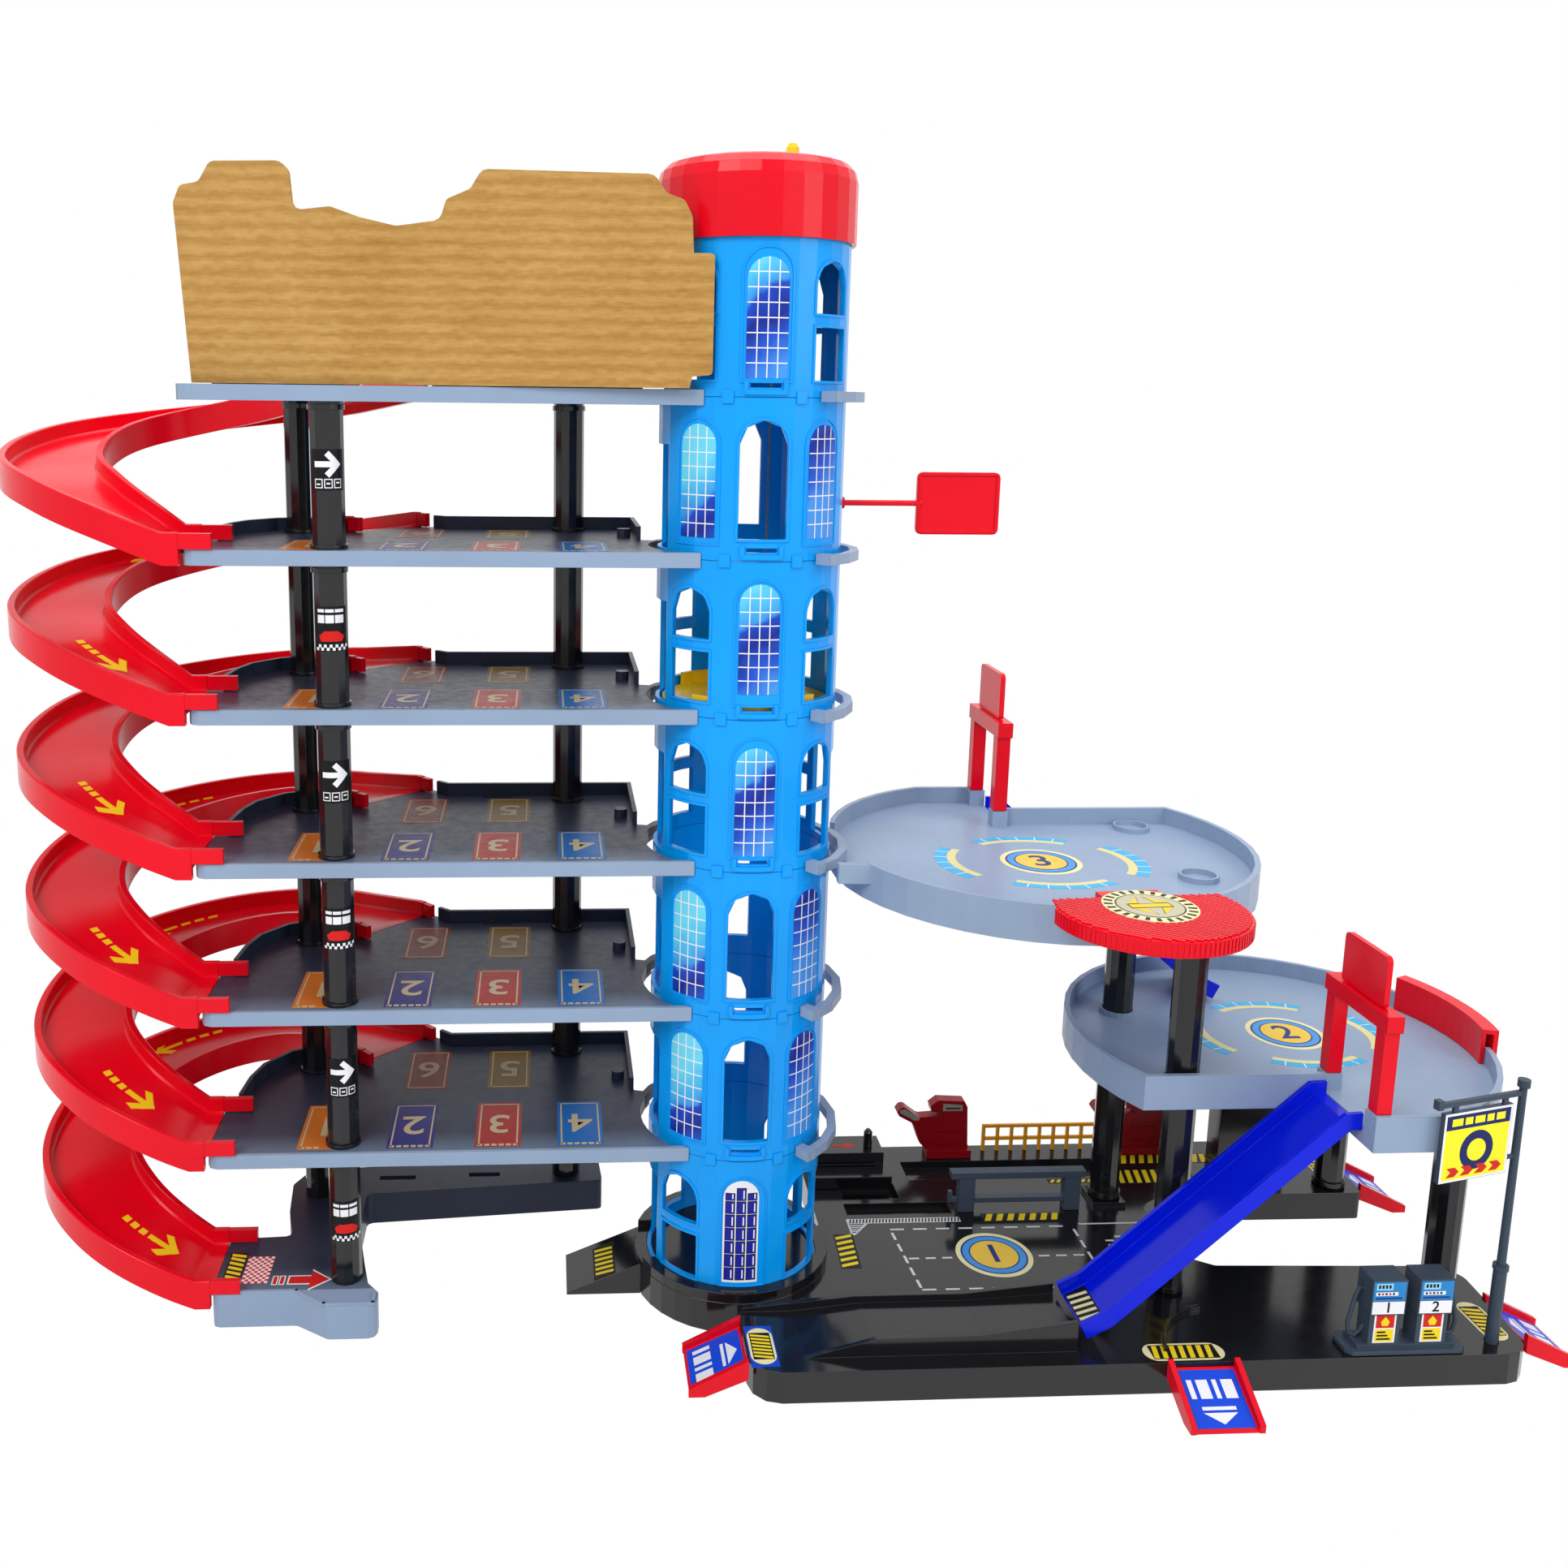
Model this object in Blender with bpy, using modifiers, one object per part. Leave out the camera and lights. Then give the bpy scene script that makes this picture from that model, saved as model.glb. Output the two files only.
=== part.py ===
"""A toy parking garage: a round lift tower between a stack of parking decks with
spiral ramps and a low base with two round trays, slides, gates and roadside pieces.

Metres, +Z up. The origin is on the tower's axis at the floor, +X runs along the
front towards the trays, and -Y faces the viewer."""
import math

import bmesh
import bpy
from mathutils import Matrix, Vector

MM = 0.001
GAP = 0.3 * MM
WALL = 2.2 * MM
PLATE = 2.5 * MM
WELD = 0.002 * MM
FLAT_ANGLE = math.radians(0.2)

PITCH = 83.5 * MM
DECK_COUNT = 6
GROUND_LEVEL = 20.1 * MM
DECK_1_TOP = GROUND_LEVEL + PITCH
DECK_APRON = 8 * MM
RIM_HEIGHT = 7.5 * MM

TOWER_R = 50 * MM
TOWER_WALL = 2.5 * MM
SECTION_COUNT = 7
SECTION_2_BOTTOM = DECK_1_TOP - 3.6 * MM
TOWER_TOP = SECTION_2_BOTTOM + PITCH * (SECTION_COUNT - 1)
TOWER_SIDES = 30
WINDOW_HALF = 12.5 * MM
DOOR_HALF = 19 * MM
DOOR_HEIGHT = 55 * MM
CUTOUT_R = TOWER_R + 5 * MM
COLLAR_R = CUTOUT_R + 5 * MM
DECK_RIGHT = -CUTOUT_R - 2 * MM
DECK_BACK = 98 * MM
COLLAR_DEPTH = 5.5 * MM
CLIP_ANGLE = 37

COLUMN_R = 8.9 * MM
COLUMN_SIDES = 12
LEFT_COLUMNS = {
    "column_front_left": (-223.7 * MM, -26.5 * MM),
    "column_back_left": (-252.6 * MM, 65.2 * MM),
    "column_back_right": (-97.2 * MM, 85.5 * MM),
}

RAMP_WIDTH = 55 * MM
RAMP_WALL = 4 * MM
RAMP_WALL_UP = 9 * MM
RAMP_WALL_DOWN = 8 * MM
RAMP_CENTRE = (-306 * MM, 70 * MM)
RAMP_MID_R = 84.5 * MM
RAMP_STEPS = 24
RAMP_FALL = (
    (45, 0.91), (90, 0.79), (119, 0.713), (139, 0.659), (154, 0.611), (170, 0.545), (190, 0.461),
    (210, 0.395), (225, 0.335), (240, 0.24), (252, 0.156), (262, 0.072), (270, 0))
RAMP_RUN = 56.1 * MM
RAMP_LEVEL_RUN = 4 * MM
DECK_LANDING_X = -297 * MM
DECK_FRONT = -40.2 * MM
TAB_BACK = -37.2 * MM

FOOT_R = TOWER_R + 7.6 * MM
FOOT_TOP = 24 * MM
FOOT_SIDES = 36
BASE_TOP = 18 * MM
BASE_WALL = 2.5 * MM
REST_POST_R = 10 * MM
PITS = (((125, 69.5), (262, 92)), ((78, 47.5), (114, 65)), ((77, 30), (143, 42.5)))
PIT_DEPTH = 5 * MM

CAP_R = TOWER_R + 2.5 * MM
CAP_BOTTOM = TOWER_TOP - 5 * MM
CAP_HEIGHT = 41.5 * MM
CAP_TOP = CAP_BOTTOM + CAP_HEIGHT
BRIDGE_LOW = TOWER_TOP + 2 * MM
BRIDGE_HIGH = BRIDGE_LOW + 3 * MM
PIVOT_R = 2.5 * MM
SPOOL_R = 9 * MM
SHAFT_R = 4 * MM
PEG_X = 17.9 * MM
CORD_R = 0.8 * MM
CORD_X = SPOOL_R + 0.9 * MM
CORD_TOP = BRIDGE_HIGH + 6 * MM
LIFT_R = TOWER_R - 4 * MM
LIFT_REST_DECK = 4
YOKE_HEIGHT = 45 * MM

TRAY_R = 118 * MM
TRAY_WALL = 3 * MM
TRAY_UP = 10 * MM
TRAY_DOWN = 10 * MM
TRAY_CHORD_Y = TRAY_R - 57.6 * MM
TRAY_BACK_Y = TRAY_R - 8 * MM
TRAY_GATE_X = -5 * MM
TRAY_POST_INNER_Y = TRAY_CHORD_Y - 4.4 * MM
TRAY_POST_OUTER_Y = TRAY_BACK_Y - 6 * MM
TRAY_POST_BLOCK = 9 * MM
SLIDE_MIDDLE_Y = (TRAY_POST_INNER_Y + TRAY_POST_OUTER_Y) / 2
TRAY_MOUTH = (165, 203)
SOCKET = (TRAY_R - 43.5 * MM, TRAY_R - 71.5 * MM)
SOCKET_R = 10.6 * MM
TRAY_3 = (TOWER_R + TRAY_R + 2 * MM, -3 * MM, 262 * MM)
TRAY_2 = (TRAY_3[0] + 2 * SOCKET[0], -3 * MM, 144 * MM)
COLUMN_RIGHT_FRONT = (TRAY_2[0] + TRAY_R - 42 * MM, TRAY_2[1] - TRAY_R + 55 * MM)
COLUMN_RIGHT_REAR = (TRAY_2[0] + TRAY_R - 38 * MM, TRAY_2[1] + TRAY_R - 59 * MM)
BASE_RIGHT = TRAY_2[0] + TRAY_R - 18 * MM
BASE_FRONT = 2 * MM - TRAY_R
BASE_BACK = TRAY_R - 6 * MM

SLIDE_WIDTH = 38.4 * MM
SLIDE_WALL_UP = 7 * MM
GATE_POST = 8 * MM
GATE_BEAM_LOW = 56 * MM
GATE_BEAM_HIGH = 65 * MM
GATE_SIGN_HIGH = 93 * MM
SIGN_THICK = 3 * MM

FLAG_Z = SECTION_2_BOTTOM + PITCH * 4 + 27.5 * MM
SIGN_BEARING = math.atan2(-102, 83)
SIGN_REACH = TRAY_R + 13.503 * MM
SIGN_POST = (TRAY_2[0] + SIGN_REACH * math.cos(SIGN_BEARING),
             TRAY_2[1] + SIGN_REACH * math.sin(SIGN_BEARING))
SIGN_POST_TOP = 170 * MM
SIGN_ARM_TURN = 14
HOSE_ROUTE = ((30, -1), (31, 3), (26, 5), (10, 8), (4, 7), (2.5, 4), (5, 1), (9, -1))
FLAP_LONG = 31 * MM
FLAP_HALF = 19.5 * MM
FLAP_TOP = 15.5 * MM
FENCE_START = 185 * MM
FENCE_SPACING = 9.6 * MM
FENCE_Y = BASE_BACK - 7 * MM

SLATE = (0.227, 0.314, 0.474)
BLUE = (0.01, 0.351, 0.896)
DEEP_BLUE = (0.004, 0.02, 0.56)
RED = (0.8, 0.006, 0.022)
DARK_RED = (0.25, 0.004, 0.01)
BLACK = (0.014, 0.014, 0.016)
YELLOW = (0.85, 0.6, 0.02)
ORANGE = (0.85, 0.33, 0.01)
CARD = (0.456, 0.301, 0.119)
CORD_GREY = (0.5, 0.5, 0.5)


def level(deck):
    """Floor height of a deck, counted from 1"""
    return DECK_1_TOP + PITCH * (deck - 1)


def seam(section):
    """Height of the joint under a tower section, counted from 1"""
    if section == 1:
        return BASE_TOP
    return SECTION_2_BOTTOM + PITCH * (section - 2)


def clear_scene():
    for item in list(bpy.data.objects):
        bpy.data.objects.remove(item, do_unlink=True)


def new_collection(name):
    made = bpy.data.collections.new(name)
    bpy.context.scene.collection.children.link(made)
    return made


def place_object(name, data):
    made = bpy.data.objects.new(name, data)
    PARTS.objects.link(made)
    return made


def evaluated_mesh(item):
    """The item's shape as one welded mesh in world coordinates"""
    graph = bpy.context.evaluated_depsgraph_get()
    graph.update()
    mesh = bpy.data.meshes.new_from_object(item.evaluated_get(graph))
    mesh.transform(item.matrix_world)
    work = bmesh.new()
    work.from_mesh(mesh)
    bmesh.ops.remove_doubles(work, verts=work.verts, dist=WELD)
    bmesh.ops.dissolve_limit(work, angle_limit=FLAT_ANGLE, verts=work.verts, edges=work.edges)
    bmesh.ops.recalc_face_normals(work, faces=work.faces)
    work.to_mesh(mesh)
    work.free()
    return mesh


def bake(item):
    """Swap the item for a plain mesh object of the same name"""
    name = item.name
    mesh = evaluated_mesh(item)
    bpy.data.objects.remove(item)
    return place_object(name, mesh)


def combine(target, tools, operation):
    for tool in tools:
        step = target.modifiers.new(operation.title(), "BOOLEAN")
        step.operation = operation
        step.solver = "EXACT"
        step.object = tool
    made = bake(target)
    for tool in tools:
        bpy.data.objects.remove(tool)
    return made


def join(target, *tools):
    return combine(target, tools, "UNION")


def cut(target, *tools):
    return combine(target, tools, "DIFFERENCE")


def in_mm(*pairs):
    return [(x * MM, y * MM) for x, y in pairs]


def arc(centre, radius, first, last, steps):
    """Points on an arc, angles in degrees from +X, both ends included"""
    points = []
    for index in range(steps + 1):
        turn = math.radians(first + (last - first) * index / steps)
        points.append((centre[0] + radius * math.cos(turn), centre[1] + radius * math.sin(turn)))
    return points


def rounded(corners, steps=3):
    """Closed outline in metres from corners given as x, y and corner radius in millimetres"""
    points = []
    for index, (x, y, radius) in enumerate(corners):
        here = Vector((x, y)) * MM
        if radius == 0:
            points.append(tuple(here))
            continue
        back = (Vector(corners[index - 1][:2]) * MM - here).normalized()
        ahead = (Vector(corners[(index + 1) % len(corners)][:2]) * MM - here).normalized()
        half = back.angle(ahead) / 2
        middle = here + (back + ahead).normalized() * radius * MM / math.sin(half)
        start = here + back * radius * MM / math.tan(half) - middle
        turn = -start.angle_signed(here + ahead * radius * MM / math.tan(half) - middle)
        for step in range(steps + 1):
            spun = Matrix.Rotation(turn * step / steps, 2) @ start
            points.append(tuple(middle + spun))
    return points


def side_line(points, distance, closed):
    """The line moved to its left by a distance, with mitred corners"""
    count = len(points)
    moved = []
    for index in range(count):
        here = Vector(points[index])
        before = Vector(points[index - 1]) if closed or index else None
        after = Vector(points[(index + 1) % count]) if closed or index < count - 1 else None
        first = (here - before).normalized() if before else (after - here).normalized()
        second = (after - here).normalized() if after else first
        left_a = Vector((-first.y, first.x))
        left_b = Vector((-second.y, second.x))
        middle = (left_a + left_b).normalized()
        moved.append(tuple(here + middle * distance / max(middle.dot(left_a), 0.3)))
    return moved


def inset(points, distance):
    return side_line(points, distance, True)


def strip(points, width):
    """Outline of a wall of one width along an open line"""
    return side_line(points, width / 2, False) + side_line(points, -width / 2, False)[::-1]


def ring_sector(inner, outer, first, last, steps, centre=(0, 0)):
    return arc(centre, inner, first, last, steps) + arc(centre, outer, last, first, steps)


def prism(name, outlines, low, high, place=None):
    """Flat outlines in a local XY plane, extruded from low to high along local Z.
    A second outline inside the first one is a hole."""
    data = bpy.data.curves.new(name, "CURVE")
    data.dimensions = "2D"
    data.fill_mode = "BOTH"
    data.extrude = (high - low) / 2
    for outline in outlines:
        spline = data.splines.new("POLY")
        spline.points.add(len(outline) - 1)
        spline.use_cyclic_u = True
        for point, (x, y) in zip(spline.points, outline):
            point.co = (x, y, 0, 1)
    made = place_object(name, data)
    made.matrix_world = (place or Matrix()) @ Matrix.Translation((0, 0, (low + high) / 2))
    return bake(made)


def box(name, low, high):
    mesh = bpy.data.meshes.new(name)
    work = bmesh.new()
    bmesh.ops.create_cube(work, size=1)
    size = [b - a for a, b in zip(low, high)]
    middle = [(a + b) / 2 for a, b in zip(low, high)]
    work.transform(Matrix.Translation(middle) @ Matrix.Diagonal((*size, 1)))
    work.to_mesh(mesh)
    work.free()
    return place_object(name, mesh)


def box_mm(name, low, high):
    return box(name, [value * MM for value in low], [value * MM for value in high])


def cylinder(name, centre, radius, low, high, sides=COLUMN_SIDES, top_radius=None):
    mesh = bpy.data.meshes.new(name)
    work = bmesh.new()
    bmesh.ops.create_cone(
        work, cap_ends=True, segments=sides, radius1=radius,
        radius2=radius if top_radius is None else top_radius, depth=high - low,
        matrix=Matrix.Translation((centre[0], centre[1], (low + high) / 2)))
    work.to_mesh(mesh)
    work.free()
    return place_object(name, mesh)


def turned(name, profile, steps, closed=False):
    """A profile of radius and height pairs, spun once about Z"""
    mesh = bpy.data.meshes.new(name)
    edges = [(index, index + 1) for index in range(len(profile) - 1)]
    if closed:
        edges.append((len(profile) - 1, 0))
    mesh.from_pydata([(radius, 0, height) for radius, height in profile], edges, [])
    made = place_object(name, mesh)
    spin = made.modifiers.new("Spin", "SCREW")
    spin.steps = steps
    spin.render_steps = steps
    spin.use_merge_vertices = True
    spin.merge_threshold = WELD
    return bake(made)


def tube(name, points, radius, resolution=2):
    data = bpy.data.curves.new(name, "CURVE")
    data.dimensions = "3D"
    data.bevel_depth = radius
    data.bevel_resolution = resolution
    data.use_fill_caps = True
    spline = data.splines.new("POLY")
    spline.points.add(len(points) - 1)
    for point, place in zip(spline.points, points):
        point.co = (*place, 1)
    return bake(place_object(name, data))


def swept(name, profile, path):
    """A closed profile carried upright along a path"""
    section = bpy.data.curves.new("section", "CURVE")
    section.dimensions = "2D"
    outline = section.splines.new("POLY")
    outline.points.add(len(profile) - 1)
    outline.use_cyclic_u = True
    for point, (x, y) in zip(outline.points, profile):
        point.co = (x, y, 0, 1)
    guide = place_object("section", section)
    data = bpy.data.curves.new(name, "CURVE")
    data.dimensions = "3D"
    data.twist_mode = "Z_UP"
    data.bevel_mode = "OBJECT"
    data.bevel_object = guide
    data.use_fill_caps = True
    spline = data.splines.new("POLY")
    spline.points.add(len(path) - 1)
    for point, place in zip(spline.points, path):
        point.co = (*place, 1)
    made = bake(place_object(name, data))
    bpy.data.objects.remove(guide)
    return made


def paint(item, colour, roughness=0.3):
    material = bpy.data.materials.new(item.name)
    material.use_nodes = True
    shader = material.node_tree.nodes["Principled BSDF"]
    shader.inputs["Base Color"].default_value = (*colour, 1)
    shader.inputs["Roughness"].default_value = roughness
    item.data.materials.clear()
    item.data.materials.append(material)
    return item


def smooth(item):
    item.data.shade_smooth()
    item.data.set_sharp_from_angle(angle=math.radians(30))
    return item


def set_origin(item, point):
    item.data.transform(Matrix.Translation(-Vector(point)))
    item.location = point
    return item


def copy_of(item, name, place):
    made = place_object(name, item.data.copy())
    made.matrix_world = place
    return made


def facing(angle, reach=0.0, height=0.0):
    """Local X runs round the tower, local Y up and local Z outwards, at an angle from the front"""
    turn = math.radians(angle)
    across = Vector((math.cos(turn), math.sin(turn), 0))
    out = Vector((math.sin(turn), -math.cos(turn), 0))
    frame = Matrix((across, (0, 0, 1), out)).transposed().to_4x4()
    return Matrix.Translation(out * reach + Vector((0, 0, height))) @ frame


ALONG_FRONT = facing(0)
ALONG_X = facing(90)


def arch(half, low, high, steps=4):
    """Outline of a window with a round head"""
    return [(-half, low), (half, low)] + arc((0, high - half), half, 0, 180, steps)


def rectangle(half, low, high):
    return [(-half, low), (half, low), (half, high), (-half, high)]


def deck_outline(tab):
    """Plan of a deck, with or without the tab that reaches to the tower in front"""
    points = in_mm((-297, -34.2), (-295.2, -38.4), (-291, -40.2))
    first = DECK_FRONT
    if tab:
        first = TAB_BACK
        touch = TOWER_R + GAP
        points += [(-math.sqrt(touch ** 2 - y ** 2), y) for y in (DECK_FRONT, TAB_BACK)]
    points += arc((0, 0), CUTOUT_R, 180 + math.degrees(math.asin(-first / CUTOUT_R)), 150, 9)
    points += [(DECK_RIGHT, CUTOUT_R / 2 + 2.5 * MM), (DECK_RIGHT, DECK_BACK)]
    points += in_mm((-171, 98), (-180, 106), (-186, 110), (-226, 70), (-227, 69))
    points += in_mm((-241, 83), (-254, 83), (-270, 76), (-284, 58), (-289, 40), (-291, 16), (-297, 12))
    return points


def make_deck():
    deck = prism("deck", [deck_outline(True)], -DECK_APRON, 0)
    hollow = prism("hollow", [inset(deck_outline(False), WALL)], -DECK_APRON - MM, -PLATE)
    holes = [cylinder("hole", spot, COLUMN_R + GAP, -DECK_APRON, MM) for spot in LEFT_COLUMNS.values()]
    slot = box_mm("slot", (-150, 89, -4), (-132, 93, 1))
    deck = cut(deck, hollow, slot, *holes)
    left_rim = in_mm((-228, 70), (-241, 83), (-254, 83), (-270, 76), (-284, 58), (-289, 40), (-291, 18))
    right_rim = [(DECK_RIGHT, CUTOUT_R / 2 + 3.5 * MM), (DECK_RIGHT, DECK_BACK)]
    right_rim += in_mm((-171, 98), (-177.5, 103.8))
    rim_line = 1.4 * MM
    rims = []
    for line in (left_rim, right_rim):
        run = strip(side_line(line, rim_line, False), PLATE)
        rims.append(prism("rim", [run], -MM, RIM_HEIGHT))
    collar_line = ring_sector(CUTOUT_R + 0.2 * MM, COLLAR_R, CLIP_ANGLE - 90, 160, 12)
    collar = prism("collar", [collar_line], -COLLAR_DEPTH, -GAP)
    clip_line = ring_sector(TOWER_R + GAP, COLLAR_R - GAP, CLIP_ANGLE - 90.6, CLIP_ANGLE - 84, 1)
    clip = prism("clip", [clip_line], -COLLAR_DEPTH - 0.2 * MM, 0)
    nub = cylinder("nub", (DECK_RIGHT - 9 * MM, 47 * MM), 4 * MM, -MM, 5 * MM, 10)
    return join(deck, collar, clip, nub, *rims)


def ramp_height(angle):
    """Floor height above the lower deck at an angle of the bend, from the table"""
    for (first, high), (last, low) in zip(RAMP_FALL, RAMP_FALL[1:]):
        if angle <= last:
            return PITCH * (high + (low - high) * (angle - first) / (last - first))
    return 0.0


def ramp_path():
    first = RAMP_FALL[0][0]
    last = RAMP_FALL[-1][0]
    turn = math.radians(first)
    bend = arc(RAMP_CENTRE, RAMP_MID_R, first, last, RAMP_STEPS)
    start = (bend[0][0] + RAMP_RUN * math.cos(turn), bend[0][1] - RAMP_RUN * math.sin(turn))
    held = (start[0] - RAMP_LEVEL_RUN * math.cos(turn), start[1] + RAMP_LEVEL_RUN * math.sin(turn))
    path = [(*start, PITCH), (*held, PITCH)]
    for index, (x, y) in enumerate(bend):
        path.append((x, y, ramp_height(first + (last - first) * index / RAMP_STEPS)))
    path.append((DECK_LANDING_X - 0.6 * MM, bend[-1][1], 0.0))
    return path


def make_ramp():
    half = RAMP_WIDTH / 2
    inner = half - RAMP_WALL
    profile = [
        (-half, RAMP_WALL_UP), (-inner, RAMP_WALL_UP), (-inner, 0), (inner, 0),
        (inner, RAMP_WALL_UP), (half, RAMP_WALL_UP), (half, -RAMP_WALL_DOWN), (inner, -RAMP_WALL_DOWN),
        (inner, -PLATE), (-inner, -PLATE), (-inner, -RAMP_WALL_DOWN), (-half, -RAMP_WALL_DOWN)]
    path = ramp_path()
    ramp = swept("ramp", profile, path)
    ear_wall = RAMP_WALL - 0.6 * MM
    ears = []
    for side in (-1, 1):
        middle_y = path[-1][1] + side * (half - RAMP_WALL / 2)
        ears.append(box("ear", (-301 * MM, middle_y - ear_wall / 2, 0.6 * MM),
                        (-281 * MM, middle_y + ear_wall / 2, RAMP_WALL_UP - 0.4 * MM)))
    corner = math.radians(RAMP_FALL[0][0])
    along = Vector((math.cos(corner), -math.sin(corner), 0))
    across = Vector((math.sin(corner), math.cos(corner), 0))
    for side in (-1, 1):
        middle = Vector(path[0]) + across * side * (half - RAMP_WALL / 2)
        frame = Matrix((along, across, (0, 0, 1))).transposed().to_4x4()
        ear = prism("ear", [[(-3 * MM, -ear_wall / 2), (8 * MM, -ear_wall / 2),
                             (8 * MM, ear_wall / 2), (-3 * MM, ear_wall / 2)]],
                    0.6 * MM, RAMP_WALL_UP - 0.4 * MM, Matrix.Translation(middle) @ frame)
        ears.append(ear)
    return join(ramp, *ears)


def left_base_outline():
    return rounded([
        (-297, -41, 4), (-250, -41, 6), (-231, -54, 5), (-204, -54, 5), (-204, -42, 4), (-211, -33, 3),
        (-215, -15, 0), (-223, 24, 3), (-223, 61, 4), (-74, 73, 3), (-76, 103, 8), (-262, 92, 10),
        (-271, 74, 6), (-268, 43, 4), (-262, 16, 3), (-297, 14, 2)], 2)


def make_left_base():
    outline = left_base_outline()
    base = prism("left_base", [outline], 0, GROUND_LEVEL)
    hollow = prism("hollow", [inset(outline, WALL)], -MM, GROUND_LEVEL - PLATE)
    slots = [box_mm("slot", (-217, 77.5, 10), (-194, 82.5, 25)),
             box_mm("slot", (-160, 79.5, 10), (-140, 84.5, 25))]
    base = cut(base, hollow, *slots)
    return paint(base, SLATE)


def make_backdrop():
    """Corrugated cardboard panel, cut by hand, standing a little askew on the top deck"""
    outline = rounded([
        (2.4, 0.5, 0), (-3.3, 88, 3), (0.3, 96.5, 3), (9.6, 98, 4), (15.6, 108, 4), (50, 108.5, 5),
        (54.4, 104, 4), (56, 85, 4), (74.4, 87, 4), (89, 82, 5), (107, 78, 6), (129, 81, 5),
        (132, 91, 4), (144, 96, 4), (150, 105.5, 5), (235, 104, 6), (241, 95, 4), (250, 92, 4),
        (254, 84, 4), (255, 66.5, 0), (265.5, 66.5, 2), (265.5, 7.2, 2), (255.3, 6.3, 0), (254, 0.5, 0)], 2)
    left_end = Vector((-292, -30, 0)) * MM + Vector((0, 0, level(DECK_COUNT)))
    end_x = -24 * MM
    beside_tower = -math.sqrt(TOWER_R ** 2 - end_x ** 2) - 2.64 * MM
    right_end = Vector((end_x, beside_tower, level(DECK_COUNT)))
    along = (right_end - left_end).normalized()
    place = Matrix((along, (0, 0, 1), along.cross(Vector((0, 0, 1))))).transposed().to_4x4()
    panel = prism("backdrop", [outline], -1.5 * MM, 1.5 * MM, Matrix.Translation(left_end) @ place)
    return paint(panel, CARD, 0.9)


def window_cutters(section, bottom):
    """Openings of one tower section: pairs of windows, tall arches or none, then its doors"""
    depth = 8 * MM
    reach = TOWER_R - depth
    pairs = section in (1, 4, 5, 7)
    angles = (45, -45, 135, -135) if pairs else (0, 180)
    cutters = []
    for angle in angles:
        place = facing(angle, reach, bottom)
        if pairs:
            cutters.append(prism("window", [arch(WINDOW_HALF, 42 * MM, 68.3 * MM)], 0, 2 * depth, place))
            lower = rectangle(WINDOW_HALF, 8.6 * MM, 35.2 * MM)
            cutters.append(prism("window", [lower], 0, 2 * depth, place))
        else:
            cutters.append(prism("window", [arch(WINDOW_HALF, 11.6 * MM, 72 * MM)], 0, 2 * depth, place))
    doors = {1: (-90, 90), 4: (-90, 90)}.get(section, (-90,))
    sill = GROUND_LEVEL if section == 1 else level(section - 1)
    for angle in doors:
        place = facing(angle, reach, sill)
        cutters.append(prism("door", [rectangle(DOOR_HALF, 0, DOOR_HEIGHT)], 0, 2 * depth, place))
    if section > 1:
        place = facing(0, reach, bottom)
        cutters.append(prism("slot", [rectangle(8 * MM, 4.8 * MM, 7 * MM)], 0, 2 * depth, place))
    return cutters


def make_section(section):
    bottom = seam(section) + GAP / 2
    top = seam(section + 1) - GAP / 2
    if section == 1:
        bottom = seam(section) + GAP
    inner = TOWER_R - TOWER_WALL
    profile = [(TOWER_R, top), (TOWER_R, bottom), (inner, bottom), (inner, top)]
    ring = turned(f"tower_{section}", profile, TOWER_SIDES, closed=True)
    window_base = seam(section) if section > 1 else SECTION_2_BOTTOM - PITCH
    cutters = window_cutters(section, window_base)
    if section == 6:
        hole = cylinder("hole", (0, 0), 2 * MM, -60 * MM, -40 * MM, 12)
        hole.data.transform(Matrix.Rotation(math.radians(-90), 4, "Y"))
        hole.data.transform(Matrix.Translation((0, 0, FLAG_Z)))
        cutters.append(hole)
    return smooth(paint(cut(ring, *cutters), BLUE))


def make_cap():
    inner = CAP_R - 2.1 * MM
    ledge = seam(SECTION_COUNT + 1) + GAP
    bore = SHAFT_R + GAP
    shoulder = 10.5 * MM
    edge = arc((CAP_R - shoulder, CAP_TOP - shoulder), shoulder, 90, 0, 3)
    profile = [(bore, CAP_TOP)] + edge + [
        (CAP_R, CAP_BOTTOM), (inner, CAP_BOTTOM), (inner, ledge), (TOWER_R - MM, ledge),
        (TOWER_R - MM, CAP_TOP - 14 * MM), (TOWER_R - 8 * MM, CAP_TOP - PLATE), (bore, CAP_TOP - PLATE)]
    return smooth(paint(turned("cap", profile, TOWER_SIDES, closed=True), RED))


def make_cord_bridge():
    """Bar across the cap that holds the foot of the winding shaft and guides the cord"""
    reach = TOWER_R - MM - GAP
    reach = reach - 0.5 * MM
    bar = box("cord_bridge", (-reach, -7 * MM, BRIDGE_LOW), (reach, 7 * MM, BRIDGE_HIGH))
    holes = [cylinder("hole", (0, 0), PIVOT_R + GAP, BRIDGE_LOW - MM, BRIDGE_HIGH + MM, 16),
             cylinder("hole", (CORD_X, 0), CORD_R + 0.7 * MM, BRIDGE_LOW - MM, BRIDGE_HIGH + MM, 12)]
    return paint(cut(bar, *holes), YELLOW)


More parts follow.
